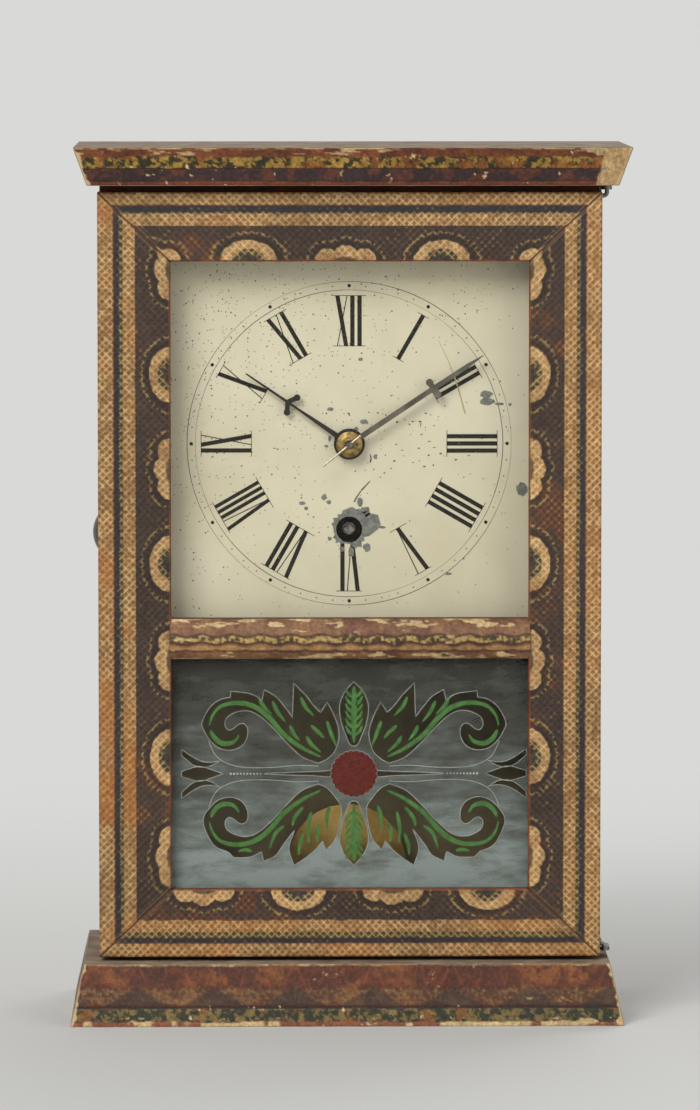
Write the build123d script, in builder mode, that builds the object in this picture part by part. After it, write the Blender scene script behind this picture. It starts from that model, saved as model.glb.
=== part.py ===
from build123d import *
import math
import os

# Cottage clock: a paper-covered wooden case, a hinged glazed door and a spring-driven movement.
# Millimetres. The clock faces -Y, +X is to the viewer's right, Z is up, the origin is under its middle.

# Base
base_overhang = 9.5
base_height = 21.4
base_splay = 4.8
base_strip_thickness = 12.0
base_board_thickness = 9.4
glue_block_leg = 12.0
glue_block_height = 9.0
off_centre = 1.0

# Case box
case_width = 173.0
case_above_hub = 83.3
side_thickness = 7.0
case_top_thickness = 7.0
backboard_thickness = 5.0

# Cornice
cornice_overhang = 9.5
cornice_height = 13.2
cornice_splay = 4.6
cornice_strip_thickness = 9.5

# Door
door_overhang = 0.5
door_thickness = 11.0
door_gap_below = 1.5
door_gap_above = 2.5
door_to_case_gap = 0.3
ledge_depth = 6.2
stile_width = 25.0
rail_width = 23.7
divider_below_hub = 59.7
divider_height = 14.2
divider_proud = 1.6
arris_radius = 0.7
rebate_width = 4.0
rebate_depth = 7.0
glass_thickness = 1.6
glass_clearance = 0.5
bead_width = 3.2
bead_depth = 3.0

# Hinges
hinge_offset = 2.1
hinge_setback = 2.0
pintle_radius = 0.75
pintle_in_door = 11.0
pintle_past_eye = 0.3
pintle_below_head = 1.4
pintle_bend = 1.2
eye_radius = 1.75
eye_clearance = 0.05
eye_thickness = 1.2
eye_height_low = 2.4
eye_drop_high = 0.6
hinge_play = 0.3
bracket_leaf_thickness = 0.9
bracket_leaf_length = 13.0
bracket_leaf_height = 9.0
bracket_setback = 0.8
bracket_tongue_length = 4.9

# Latch
latch_below_hub = 31.1
latch_setback = 9.7
knob_radius = 6.1
knob_thickness = 2.5
knob_gap = 0.3
knob_rim = 0.6
spindle_radius = 1.5
spindle_clearance = 0.1
hook_thickness = 1.6
hook_gap = 3.2
hook_hub_radius = 2.6
hook_inner_radius = 6.4
hook_outer_radius = 8.0
hook_first_angle = 25.0
hook_last_angle = 117.0
staple_wire_radius = 0.6
staple_reach = 4.5
staple_half_width = 3.0
staple_in_door = 4.0
staple_bend = 1.2

# Dial
dial_side_gap = 10.5
dial_height = 140.0
dial_below_hub = 68.7
dial_thickness = 0.5
dial_setback = 4.2
dial_hub_hole_radius = 5.0
winding_hole_radius = 4.6
dial_block_width = 13.5
dial_block_height = 14.0
dial_block_depth = 12.0
dial_nail_inset = 1.5
dial_nail_rise = 3.0
dial_nail_radius = 0.5
dial_nail_head_radius = 1.2
dial_nail_head_height = 0.6
dial_nail_length = 8.0

# Paper label on the backboard
label_side_gap = 17.5
label_height = 96.0
label_above_base = 21.4
label_thickness = 0.2

# Movement frame
plate_width = 68.0
plate_height = 107.0
plate_below_hub = 56.7
plate_thickness = 1.2
plate_spacing = 26.6
dial_to_plate = 12.0
post_length = 15.0
running_clearance = 0.05
end_shake = 0.3
pillar_radius = 2.5
pillar_spigot_radius = 1.4
pillar_inset = 4.5
lower_pillar_rise = 8.0
upper_pillar_drop = 4.5
lug_width = 7.5
lug_height = 10.0
lug_hole_inset = 3.8
lower_lug_rise = 14.0
upper_lug_drop = 14.0
post_radius = 3.0
screw_radius = 1.2
screw_head_radius = 2.4
screw_head_height = 1.2
screw_in_board = 3.6
window_width = 12.0
window_height = 30.0
window_offset = 24.0
window_rise = 42.0

# Gear train: teeth and modules
great_teeth = 64
centre_leaves = 8
centre_teeth = 72
third_leaves = 6
third_teeth = 56
escape_leaves = 6
train_module = 0.5
cannon_leaves = 12
minute_teeth = 36
minute_module = 0.5
minute_leaves = 10
hour_teeth = 40
minute_stud_angle = -50.0
wheel_addendum = 0.85
wheel_dedendum = 1.25
wheel_tip_share = 0.08
wheel_root_share = 0.24
leaf_addendum = 0.5
leaf_dedendum = 1.3
leaf_tip_share = 0.09
leaf_root_share = 0.15
spoke_count = 5
spoke_width = 2.4
rim_width = 2.4
wheel_hub_radius = 3.6

# Arbors and wheels, measured along their arbors
great_wheel_thickness = 1.6
great_wheel_behind_plate = 4.8
centre_wheel_thickness = 1.0
centre_wheel_behind_plate = 0.5
centre_tube_radius = 2.2
centre_arbor_radius = 1.5
centre_pivot_radius = 0.9
centre_collar_radius = 3.2
centre_collar_thickness = 1.0
third_wheel_behind_plate = 15.8
third_wheel_thickness = 1.0
thin_arbor_radius = 0.8
thin_pivot_radius = 0.5
pinion_overhang = 0.4
cannon_length = 2.0
motion_wheel_thickness = 1.0
motion_wheel_gap = 0.7
hour_pipe_radius = 2.5
stud_radius = 1.0
stud_head_radius = 1.5
stud_head_thickness = 0.6
motion_pinion_overhang = 0.3

# Winding work
winding_drop = 30.0
winding_body_radius = 2.5
winding_front_radius = 2.2
winding_pivot_radius = 1.5
winding_square = 2.7
winding_square_length = 4.0
winding_square_turn = 40.0
winding_end_gap = 1.2
ratchet_teeth = 20
ratchet_radius = 9.0
ratchet_tooth_depth = 1.4
ratchet_thickness = 1.6
click_pivot_distance = 14.5
click_pivot_angle = 150.0
click_eye_radius = 2.2
click_stud_radius = 0.9
click_nose_radius = 9.1
click_nose_angle = 110.0
click_arm_inner = 10.4
click_arm_outer = 12.4
click_spring_width = 0.5
click_spring_foot_distance = 21.0
click_spring_foot_angle = 128.0
click_spring_rivet_radius = 0.8

# Mainspring
mainspring_strip = 0.45
mainspring_width = 16.8
mainspring_behind_plate = 8.0
mainspring_inner_radius = 5.2
mainspring_pitch = 2.15
mainspring_turns = 8
mainspring_loop_wall = 0.6
mainspring_loop_clearance = 0.1

# Escapement
escape_teeth = 36
escape_radius = 13.5
escape_root_radius = 11.5
escape_tip_half_angle = 0.4
escape_root_half_angle = 2.2
escape_wheel_gap = 2.0
escape_wheel_thickness = 1.0
pallet_span_teeth = 7.5
pallet_clearance = 0.12
pallet_nose_half = 0.2
pallet_neck_half = 0.6
pallet_nose_height = 0.9
verge_strip_thickness = 1.0
verge_strip_width = 2.4
verge_tube_radius = 1.9
verge_tube_length = 3.8
verge_pin_radius = 0.9
verge_pin_head_radius = 1.5
escape_to_verge_play = 0.4
crutch_width = 2.0
crutch_thickness = 0.8
crutch_drop = 33.8
crutch_slot_half = 1.0
crutch_wall = 0.7
crutch_block_height = 1.2

# Pendulum
pendulum_length = 198.0
suspension_above_hub = 44.6
rod_above_base = 1.5
pendulum_setback = 8.5
suspension_above_verge = 5.5
suspension_post_radius = 1.7
suspension_post_end = 2.5
suspension_strip_half = 0.12
suspension_strip_width = 2.6
suspension_slit_half = 0.35
suspension_strip_drop = 9.0
suspension_bead_half = 1.0
suspension_bead_height = 1.2
rod_radius = 0.8
bob_radius = 20.9
bob_thickness = 7.0
bob_rim_thickness = 1.2
rating_nut_radius = 3.6
rating_nut_height = 2.6
rating_nut_gap = 0.3
rod_below_nut = 0.6

# Hands
hour_hand_angle = 145.65
hour_hand_length = 43.4
hour_cross_distance = 24.1
hour_cross_half = 3.1
hour_cross_sweep = 1.8
hour_arm_half = 0.85
hour_boss_radius = 5.4
hour_blade_half = 1.05
hour_waist_half = 0.38
hour_waist_before_cross = 1.8
hour_outer_half = 0.5
hour_tip_half = 0.25
hour_lobe_radius = 1.15
minute_hand_angle = 33.6
minute_hand_length = 55.9
minute_cross_distance = 35.1
minute_cross_half = 2.5
minute_boss_radius = 3.4
minute_cross_sweep = 0.0
minute_arm_half = 1.0
minute_blade_half = 0.95
minute_waist_half = 0.9
minute_blade_end_half = 0.75
minute_blade_end = 49.5
minute_tip_half = 0.12
minute_lobe_radius = 1.3
hand_thickness = 0.6
hour_hand_gap = 2.0
hand_spacing = 1.3
hand_square = 2.1
hand_square_turn = 38.0
square_clearance = 0.03
washer_radius = 4.5
washer_height = 1.2
washer_sheet = 0.5
pin_angle = 39.2
pin_length = 17.0
pin_tail = 12.0
pin_thick_radius = 0.45
pin_thin_radius = 0.3
pin_gap = 0.1
arbor_past_pin = 0.5

# Heights that follow from the sizes: the pendulum hangs just clear of the base, and the rest follows.
bob_height = base_height + rod_above_base + rod_below_nut + rating_nut_height + rating_nut_gap + bob_radius
suspension_height = bob_height + pendulum_length
hub_height = suspension_height - suspension_above_hub
case_top_height = hub_height + case_above_hub
case_height = case_top_height - base_height
cornice_foot = case_top_height + case_top_thickness
cornice_top = cornice_foot + cornice_height
door_foot = base_height + door_gap_below
door_head = cornice_foot - door_gap_above
opening_foot = door_foot + rail_width
opening_head = door_head - rail_width
divider_head = hub_height - divider_below_hub
divider_foot = divider_head - divider_height
latch_z = hub_height - latch_below_hub
dial_foot = hub_height - dial_below_hub
dial_head = dial_foot + dial_height
label_foot = base_height + label_above_base
plate_foot = hub_height - plate_below_hub
plate_head = plate_foot + plate_height
lower_pillar_z = plate_foot + lower_pillar_rise
upper_pillar_z = plate_head - upper_pillar_drop
lower_lug_z = plate_foot + lower_lug_rise
upper_lug_z = plate_head - upper_lug_drop

# Widths that follow from the sizes
case_half = case_width / 2
base_width = case_width + 2 * base_overhang
cornice_width = case_width + 2 * cornice_overhang
door_width = case_width + 2 * door_overhang
door_half = door_width / 2
opening_half = door_half - stile_width
hinge_x = door_half + hinge_offset
dial_width = case_width - 2 * (side_thickness + dial_side_gap)
label_width = case_width - 2 * (side_thickness + label_side_gap)
pillar_x = plate_width / 2 - pillar_inset
lug_hole_x = plate_width / 2 + lug_hole_inset

# Depths that follow from the sizes, counted back from the middle of the base's front edge
door_setback = base_splay + ledge_depth
case_setback = door_setback + door_thickness + door_to_case_gap
plate_setback = case_setback + dial_setback + dial_thickness + dial_to_plate
movement_depth = 2 * plate_thickness + plate_spacing
base_depth = plate_setback + movement_depth + post_length + backboard_thickness
back_face = base_depth / 2
front_face = -base_depth / 2
backboard_front = back_face - backboard_thickness
door_front = front_face + door_setback
door_back = door_front + door_thickness
case_front = front_face + case_setback
rebate_front = door_back - rebate_depth
glass_back = rebate_front + glass_thickness
glass_lap = rebate_width - glass_clearance
bead_back = glass_back + bead_depth
hinge_y = door_back - hinge_setback
latch_y = case_front + latch_setback
dial_front = case_front + dial_setback
dial_back = dial_front + dial_thickness
front_plate_face = front_face + plate_setback
front_plate_back = front_plate_face + plate_thickness
back_plate_front = front_plate_back + plate_spacing
back_plate_back = back_plate_front + plate_thickness
great_wheel_front = front_plate_back + great_wheel_behind_plate
great_wheel_back = great_wheel_front + great_wheel_thickness
ratchet_back = great_wheel_front - end_shake
ratchet_front = ratchet_back - ratchet_thickness
centre_wheel_front = front_plate_back + centre_wheel_behind_plate
centre_wheel_back = centre_wheel_front + centre_wheel_thickness
third_wheel_front = front_plate_back + third_wheel_behind_plate
third_wheel_back = third_wheel_front + third_wheel_thickness
mainspring_front = front_plate_back + mainspring_behind_plate
escape_wheel_front = back_plate_back + escape_wheel_gap
escape_wheel_back = escape_wheel_front + escape_wheel_thickness
pendulum_y = back_plate_back + pendulum_setback

# Pivot points across the clock, as X and Z
suspension_place = (0.0, suspension_height)
verge_place = (0.0, suspension_height - suspension_above_verge)
centre_place = (0.0, hub_height)
winding_place = (0.0, hub_height - winding_drop)
great_module = 2 * winding_drop / (great_teeth + centre_leaves)
hour_module = minute_module * (cannon_leaves + minute_teeth) / (minute_leaves + hour_teeth)


def pitch_radius(teeth, module):
    return teeth * module / 2


def polar(centre, distance, angle):
    turn = math.radians(angle)
    return (centre[0] + distance * math.cos(turn), centre[1] + distance * math.sin(turn))


def direction(start, end):
    return math.degrees(math.atan2(end[1] - start[1], end[0] - start[0]))


def beside_gap(angle, teeth):
    # The tooth next to the gap that faces back along a line of centres at this angle.
    return angle + 180 + 180 / teeth


# The escape wheel hangs below the verge so that the pallet noses meet it along tangents.
pallet_half_angle = pallet_span_teeth / 2 * 360 / escape_teeth
escape_to_verge = escape_radius / math.cos(math.radians(pallet_half_angle))
escape_place = (0.0, verge_place[1] - escape_to_verge)

# The third arbor stands at its two gear distances from the centre arbor and the escape arbor.
centre_to_third = pitch_radius(centre_teeth + third_leaves, train_module)
third_to_escape = pitch_radius(third_teeth + escape_leaves, train_module)
centre_to_escape = escape_place[1] - centre_place[1]
third_rise = (centre_to_third**2 - third_to_escape**2 + centre_to_escape**2) / (2 * centre_to_escape)
third_place = (-math.sqrt(centre_to_third**2 - third_rise**2), centre_place[1] + third_rise)

# The minute wheel's stud stands at its gear distance from the centre arbor.
stud_distance = pitch_radius(cannon_leaves + minute_teeth, minute_module)
stud_place = polar(centre_place, stud_distance, minute_stud_angle)


def facing(y):
    # A drawing plane across the clock at this depth, seen from the front: X to the right, Z up.
    return Plane.XZ.offset(-y)


def mitred_outline(side, shift, half_width, front, inner_half_width, inner_front):
    # One strip of a moulding in plan: the front one, or a side one with its mitre at the front.
    if side == "front":
        corners = [
            (-half_width, front),
            (half_width, front),
            (inner_half_width, inner_front),
            (-inner_half_width, inner_front),
        ]
    else:
        hand = -1 if side == "left" else 1
        corners = [
            (hand * half_width, front),
            (hand * inner_half_width, inner_front),
            (hand * inner_half_width, back_face),
            (hand * half_width, back_face),
        ]
    return [(x + shift, y) for x, y in corners]


def gear_outline(centre, teeth, module, addendum, dedendum, tip_share, root_share, first_tooth):
    # Straight-flanked teeth: addendum and dedendum in modules, half widths as shares of the pitch.
    tip = pitch_radius(teeth, module) + addendum * module
    root = pitch_radius(teeth, module) - dedendum * module
    tip_half = math.degrees(tip_share * math.pi * module / tip)
    root_half = math.degrees(root_share * math.pi * module / root)
    outline = []
    for tooth in range(teeth):
        middle = first_tooth + tooth * 360 / teeth
        outline.append(polar(centre, root, middle - root_half))
        outline.append(polar(centre, tip, middle - tip_half))
        outline.append(polar(centre, tip, middle + tip_half))
        outline.append(polar(centre, root, middle + root_half))
    return outline


def wheel_outline(centre, teeth, module, first_tooth):
    return gear_outline(
        centre, teeth, module, wheel_addendum, wheel_dedendum, wheel_tip_share, wheel_root_share, first_tooth
    )


def leaf_outline(centre, teeth, module, first_tooth):
    return gear_outline(
        centre, teeth, module, leaf_addendum, leaf_dedendum, leaf_tip_share, leaf_root_share, first_tooth
    )


def crossing(centre, rim_radius, hub_radius, first_spoke):
    # Spoked windows inside the open sketch: cut the disc inside the rim, then put back hub and spokes.
    with Locations(centre):
        Circle(rim_radius, mode=Mode.SUBTRACT)
        Circle(hub_radius)
    for spoke in range(spoke_count):
        angle = first_spoke + spoke * 360 / spoke_count
        with Locations(polar(centre, rim_radius / 2, angle)):
            Rectangle(rim_radius + rim_width / 2, spoke_width, rotation=angle)


os.makedirs("parts", exist_ok=True)

# Base: a board with splayed strips round it and glue blocks in the corners below.
base_inner_half = base_width / 2 - base_strip_thickness
base_inner_front = front_face + base_strip_thickness
base_board_foot = base_height - base_board_thickness

with BuildPart() as base_board:
    with BuildSketch(Plane.XY.offset(base_board_foot)):
        with Locations((-off_centre, (base_inner_front + back_face) / 2)):
            Rectangle(2 * base_inner_half, back_face - base_inner_front)
    extrude(amount=base_board_thickness)
base_board.part.label = "base_board"
export_step(base_board.part, "parts/base_board.step")

for side in ("front", "left", "right"):
    with BuildPart() as base_strip:
        for height, inset in ((0.0, 0.0), (base_height, base_splay)):
            with BuildSketch(Plane.XY.offset(height)):
                with BuildLine():
                    Polyline(
                        *mitred_outline(
                            side,
                            -off_centre,
                            base_width / 2 - inset,
                            front_face + inset,
                            base_inner_half,
                            base_inner_front,
                        ),
                        close=True,
                    )
                make_face()
        loft(ruled=True)
    base_strip.part.label = f"base_{side}_moulding"
    export_step(base_strip.part, f"parts/base_{side}_moulding.step")

with BuildPart() as base_glue_blocks:
    with BuildSketch(Plane.XY.offset(base_board_foot - glue_block_height)):
        for hand in (-1, 1):
            corner_x = hand * base_inner_half - off_centre
            for corner_y, towards in ((base_inner_front, 1), (back_face, -1)):
                with BuildLine():
                    Polyline(
                        (corner_x, corner_y),
                        (corner_x - hand * glue_block_leg, corner_y),
                        (corner_x, corner_y + towards * glue_block_leg),
                        close=True,
                    )
                make_face()
    extrude(amount=glue_block_height)
base_glue_blocks.part.label = "base_glue_blocks"
export_step(base_glue_blocks.part, "parts/base_glue_blocks.step")

# Case box: two sides, a top and a backboard.
latch_place = (latch_y, latch_z)

for hand, side in ((-1, "left"), (1, "right")):
    with BuildPart() as case_side:
        side_middle = hand * (case_width - side_thickness) / 2
        with BuildSketch(Plane.XY.offset(base_height)):
            with Locations((side_middle, (case_front + backboard_front) / 2)):
                Rectangle(side_thickness, backboard_front - case_front)
        extrude(amount=case_height)
        if side == "left":
            with BuildSketch(Plane.YZ.offset(-case_width / 2)):
                with Locations(latch_place):
                    Circle(spindle_radius + spindle_clearance)
            extrude(amount=side_thickness, mode=Mode.SUBTRACT)
    case_side.part.label = f"case_{side}_side"
    export_step(case_side.part, f"parts/case_{side}_side.step")

with BuildPart() as case_top:
    with BuildSketch(Plane.XY.offset(case_top_height)):
        with Locations((0, (case_front + backboard_front) / 2)):
            Rectangle(case_width, backboard_front - case_front)
    extrude(amount=case_top_thickness)
case_top.part.label = "case_top"
export_step(case_top.part, "parts/case_top.step")

lug_holes = [(hand * lug_hole_x, z) for hand in (-1, 1) for z in (lower_lug_z, upper_lug_z)]

with BuildPart() as backboard:
    with BuildSketch(facing(back_face)):
        with Locations((0, (base_height + cornice_foot) / 2)):
            Rectangle(case_width, cornice_foot - base_height)
    extrude(amount=backboard_thickness)
    with BuildSketch(facing(backboard_front + screw_in_board)):
        with Locations(*lug_holes):
            Circle(screw_radius)
    extrude(amount=screw_in_board, mode=Mode.SUBTRACT)
backboard.part.label = "backboard"
export_step(backboard.part, "parts/backboard.step")

with BuildPart() as paper_label:
    with BuildSketch(facing(backboard_front)):
        with Locations((0, label_foot + label_height / 2)):
            Rectangle(label_width, label_height)
    extrude(amount=label_thickness)
paper_label.part.label = "paper_label"
export_step(paper_label.part, "parts/paper_label.step")

# Cornice: a thick board with splayed strips round it.
cornice_inner_half = cornice_width / 2 - cornice_strip_thickness
cornice_inner_front = front_face + cornice_strip_thickness

with BuildPart() as cornice_board:
    with BuildSketch(Plane.XY.offset(cornice_foot)):
        with Locations((off_centre, (cornice_inner_front + back_face) / 2)):
            Rectangle(2 * cornice_inner_half, back_face - cornice_inner_front)
    extrude(amount=cornice_height)
cornice_board.part.label = "cornice_board"
export_step(cornice_board.part, "parts/cornice_board.step")

for side in ("front", "left", "right"):
    with BuildPart() as cornice_strip:
        for height, inset in ((cornice_foot, cornice_splay), (cornice_top, 0.0)):
            with BuildSketch(Plane.XY.offset(height)):
                with BuildLine():
                    Polyline(
                        *mitred_outline(
                            side,
                            off_centre,
                            cornice_width / 2 - inset,
                            front_face + inset,
                            cornice_inner_half,
                            cornice_inner_front,
                        ),
                        close=True,
                    )
                make_face()
        loft(ruled=True)
    cornice_strip.part.label = f"cornice_{side}_moulding"
    export_step(cornice_strip.part, f"parts/cornice_{side}_moulding.step")

# Door frame: mitred stiles and rails with a rebate behind for the glass, and a half-round divider.
low_eye_foot = base_height + eye_height_low
high_eye_head = cornice_foot - eye_drop_high
pintle_low_z = low_eye_foot + eye_thickness + hinge_play + pintle_radius
pintle_high_z = door_head - pintle_below_head
opening_middle = (opening_foot + opening_head) / 2
opening_height = opening_head - opening_foot
staple_middle_x = -case_half + side_thickness + hook_gap + hook_thickness / 2
staple_places = [(staple_middle_x + hand * staple_half_width, latch_z) for hand in (-1, 1)]

for hand, side in ((-1, "left"), (1, "right")):
    with BuildPart() as door_stile:
        with BuildSketch(facing(door_back)):
            with BuildLine():
                Polyline(
                    (hand * door_half, door_foot),
                    (hand * opening_half, opening_foot),
                    (hand * opening_half, opening_head),
                    (hand * door_half, door_head),
                    close=True,
                )
            make_face()
        extrude(amount=door_thickness)
        fillet(door_stile.edges().filter_by(Axis.Z).group_by(Axis.Y)[0], arris_radius)
        with BuildSketch(facing(door_back)):
            with Locations((hand * (opening_half + rebate_width / 2), opening_middle)):
                Rectangle(rebate_width, opening_height + 2 * rebate_width)
        extrude(amount=rebate_depth, mode=Mode.SUBTRACT)
        if side == "right":
            with BuildSketch(Plane.YZ.offset(door_half)):
                with Locations((hinge_y, pintle_low_z), (hinge_y, pintle_high_z)):
                    Circle(pintle_radius)
            extrude(amount=-pintle_in_door, mode=Mode.SUBTRACT)
        else:
            with BuildSketch(facing(door_back)):
                with Locations(*staple_places):
                    Circle(staple_wire_radius)
            extrude(amount=staple_in_door, mode=Mode.SUBTRACT)
    door_stile.part.label = f"door_{side}_stile"
    export_step(door_stile.part, f"parts/door_{side}_stile.step")

rail_places = (
    ("top", door_head, opening_head, 1, pintle_high_z),
    ("bottom", door_foot, opening_foot, -1, pintle_low_z),
)
for name, outer_z, inner_z, outward, leg_z in rail_places:
    with BuildPart() as door_rail:
        with BuildSketch(facing(door_back)):
            with BuildLine():
                Polyline(
                    (-door_half, outer_z),
                    (door_half, outer_z),
                    (opening_half, inner_z),
                    (-opening_half, inner_z),
                    close=True,
                )
            make_face()
        extrude(amount=door_thickness)
        fillet(door_rail.edges().filter_by(Axis.X).group_by(Axis.Y)[0], arris_radius)
        with BuildSketch(facing(door_back)):
            with Locations((0, inner_z + outward * rebate_width / 2)):
                Rectangle(2 * (opening_half + rebate_width), rebate_width)
        extrude(amount=rebate_depth, mode=Mode.SUBTRACT)
        with BuildSketch(Plane.YZ.offset(door_half)):
            with Locations((hinge_y, leg_z)):
                Circle(pintle_radius)
        extrude(amount=-pintle_in_door, mode=Mode.SUBTRACT)
    door_rail.part.label = f"door_{name}_rail"
    export_step(door_rail.part, f"parts/door_{name}_rail.step")

divider_shoulder = door_front + divider_proud
divider_web_foot = divider_foot + rebate_width
divider_web_head = divider_head - rebate_width

with BuildPart() as door_divider:
    with BuildSketch(Plane.YZ.offset(-opening_half)):
        with BuildLine():
            ThreePointArc(
                (divider_shoulder, divider_foot),
                (door_front - divider_proud, (divider_foot + divider_head) / 2),
                (divider_shoulder, divider_head),
            )
            Polyline(
                (divider_shoulder, divider_head),
                (rebate_front, divider_head),
                (rebate_front, divider_web_head),
                (door_back, divider_web_head),
                (door_back, divider_web_foot),
                (rebate_front, divider_web_foot),
                (rebate_front, divider_foot),
                (divider_shoulder, divider_foot),
            )
        make_face()
    extrude(amount=2 * opening_half)
door_divider.part.label = "door_divider"
export_step(door_divider.part, "parts/door_divider.step")

# Glass: one pane above the divider and one below, each held in its rebate by four wooden beads.
glass_half = opening_half + glass_lap
pane_rows = (
    ("upper_glass", divider_web_head + glass_clearance, opening_head + glass_lap),
    ("tablet_glass", opening_foot - glass_lap, divider_web_foot - glass_clearance),
)
for name, foot, head in pane_rows:
    with BuildPart() as pane:
        with BuildSketch(facing(glass_back)):
            with Locations((0, (foot + head) / 2)):
                Rectangle(2 * glass_half, head - foot)
        extrude(amount=glass_thickness)
    pane.part.label = name
    export_step(pane.part, f"parts/{name}.step")

with BuildPart() as glazing_beads:
    for _, foot, head in pane_rows:
        with BuildSketch(facing(bead_back)):
            for hand in (-1, 1):
                with Locations((hand * (glass_half - bead_width / 2), (foot + head) / 2)):
                    Rectangle(bead_width, head - foot)
            for bead_z in (foot + bead_width / 2, head - bead_width / 2):
                with Locations((0, bead_z)):
                    Rectangle(2 * (glass_half - bead_width - glass_clearance), bead_width)
        extrude(amount=bead_depth)
glazing_beads.part.label = "glazing_beads"
export_step(glazing_beads.part, "parts/glazing_beads.step")

# Hinges: a bracket with an eye on the case's right side, and a bent wire pintle in the door's edge.
bracket_front = case_front + bracket_setback
bracket_rows = (
    (low_eye_foot, low_eye_foot),
    (high_eye_head - eye_thickness, high_eye_head - bracket_leaf_height),
)

with BuildPart() as hinge_brackets:
    for eye_foot, leaf_foot in bracket_rows:
        with BuildSketch(Plane.XY.offset(leaf_foot)):
            with Locations((case_half + bracket_leaf_thickness / 2, bracket_front + bracket_leaf_length / 2)):
                Rectangle(bracket_leaf_thickness, bracket_leaf_length)
        extrude(amount=bracket_leaf_height)
        with BuildSketch(Plane.XY.offset(eye_foot)):
            with BuildLine():
                Polyline(
                    (hinge_x - eye_radius, hinge_y),
                    (hinge_x + eye_radius, hinge_y),
                    (hinge_x + eye_radius, bracket_front + bracket_tongue_length),
                    (case_half, bracket_front + bracket_tongue_length),
                    (case_half, bracket_front),
                    (hinge_x - eye_radius, bracket_front),
                    close=True,
                )
            make_face()
            with Locations((hinge_x, hinge_y)):
                Circle(eye_radius)
                Circle(pintle_radius + eye_clearance, mode=Mode.SUBTRACT)
        extrude(amount=eye_thickness)
hinge_brackets.part.label = "hinge_brackets"
export_step(hinge_brackets.part, "parts/hinge_brackets.step")

pintle_rows = (
    (pintle_low_z, low_eye_foot - pintle_past_eye),
    (pintle_high_z, high_eye_head + pintle_past_eye),
)

with BuildPart() as hinge_pintles:
    for leg_z, end_z in pintle_rows:
        with BuildLine() as pintle_path:
            FilletPolyline(
                (door_half - pintle_in_door, hinge_y, leg_z),
                (hinge_x, hinge_y, leg_z),
                (hinge_x, hinge_y, end_z),
                radius=pintle_bend,
            )
        with BuildSketch(Plane.YZ.offset(door_half - pintle_in_door)):
            with Locations((hinge_y, leg_z)):
                Circle(pintle_radius)
        sweep(path=pintle_path.line)
hinge_pintles.part.label = "hinge_pintles"
export_step(hinge_pintles.part, "parts/hinge_pintles.step")

# Latch: a knob outside the left wall turns a curved hook inside, which catches a staple on the door.
knob_back = -case_half - knob_gap
knob_front = knob_back - knob_thickness
hook_front = -case_half + side_thickness + hook_gap
hook_back = hook_front + hook_thickness


def dome(radius, rise, at):
    # Height of a domed disc above its rim, at this distance from its middle.
    sphere = (radius**2 + rise**2) / (2 * rise)
    return math.sqrt(sphere**2 - at**2) - (sphere - rise)


knob_rise = knob_thickness - knob_rim
knob_shoulder = knob_back - knob_rim - dome(knob_radius, knob_rise, knob_radius / 2)
with BuildPart() as latch_knob:
    with BuildSketch(facing(latch_y)):
        with BuildLine():
            ThreePointArc(
                (knob_front, latch_z),
                (knob_shoulder, latch_z + knob_radius / 2),
                (knob_back - knob_rim, latch_z + knob_radius),
            )
            Polyline(
                (knob_back - knob_rim, latch_z + knob_radius),
                (knob_back, latch_z + knob_radius),
                (knob_back, latch_z + spindle_radius),
                (hook_back, latch_z + spindle_radius),
                (hook_back, latch_z),
                (knob_front, latch_z),
            )
        make_face()
    revolve(axis=Axis((0, latch_y, latch_z), (1, 0, 0)))
latch_knob.part.label = "latch_knob"
export_step(latch_knob.part, "parts/latch_knob.step")

hook_sweep = hook_last_angle - hook_first_angle
hook_middle_radius = (hook_inner_radius + hook_outer_radius) / 2

with BuildPart() as latch_hook:
    with BuildSketch(Plane.YZ.offset(hook_front)):
        with BuildLine():
            CenterArc(latch_place, hook_outer_radius, hook_first_angle, hook_sweep)
            CenterArc(latch_place, hook_inner_radius, hook_first_angle, hook_sweep)
            for angle in (hook_first_angle, hook_last_angle):
                Line(
                    polar(latch_place, hook_inner_radius, angle),
                    polar(latch_place, hook_outer_radius, angle),
                )
        make_face()
        with Locations(polar(latch_place, hook_middle_radius / 2, hook_first_angle)):
            Rectangle(hook_middle_radius, hook_thickness, rotation=hook_first_angle)
    extrude(amount=hook_thickness)
    with BuildSketch(Plane.YZ.offset(-case_half + side_thickness + end_shake)):
        with Locations(latch_place):
            Circle(hook_hub_radius)
    extrude(amount=hook_gap - end_shake + hook_thickness)
    with BuildSketch(Plane.YZ.offset(-case_half + side_thickness)):
        with Locations(latch_place):
            Circle(spindle_radius)
    extrude(amount=hook_gap + hook_thickness, mode=Mode.SUBTRACT)
latch_hook.part.label = "latch_hook"
export_step(latch_hook.part, "parts/latch_hook.step")

with BuildPart() as latch_staple:
    with BuildLine() as staple_path:
        FilletPolyline(
            (staple_middle_x - staple_half_width, door_back - staple_in_door, latch_z),
            (staple_middle_x - staple_half_width, door_back + staple_reach, latch_z),
            (staple_middle_x + staple_half_width, door_back + staple_reach, latch_z),
            (staple_middle_x + staple_half_width, door_back - staple_in_door, latch_z),
            radius=staple_bend,
        )
    with BuildSketch(facing(door_back - staple_in_door)):
        with Locations(staple_places[0]):
            Circle(staple_wire_radius)
    sweep(path=staple_path.line)
latch_staple.part.label = "latch_staple"
export_step(latch_staple.part, "parts/latch_staple.step")

# Dial: a zinc plate nailed to four blocks on the case sides.
dial_nail_places = [
    (hand * (dial_width / 2 - dial_nail_inset), z)
    for hand in (-1, 1)
    for z in (dial_foot + dial_nail_rise, dial_head - dial_nail_rise)
]

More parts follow.
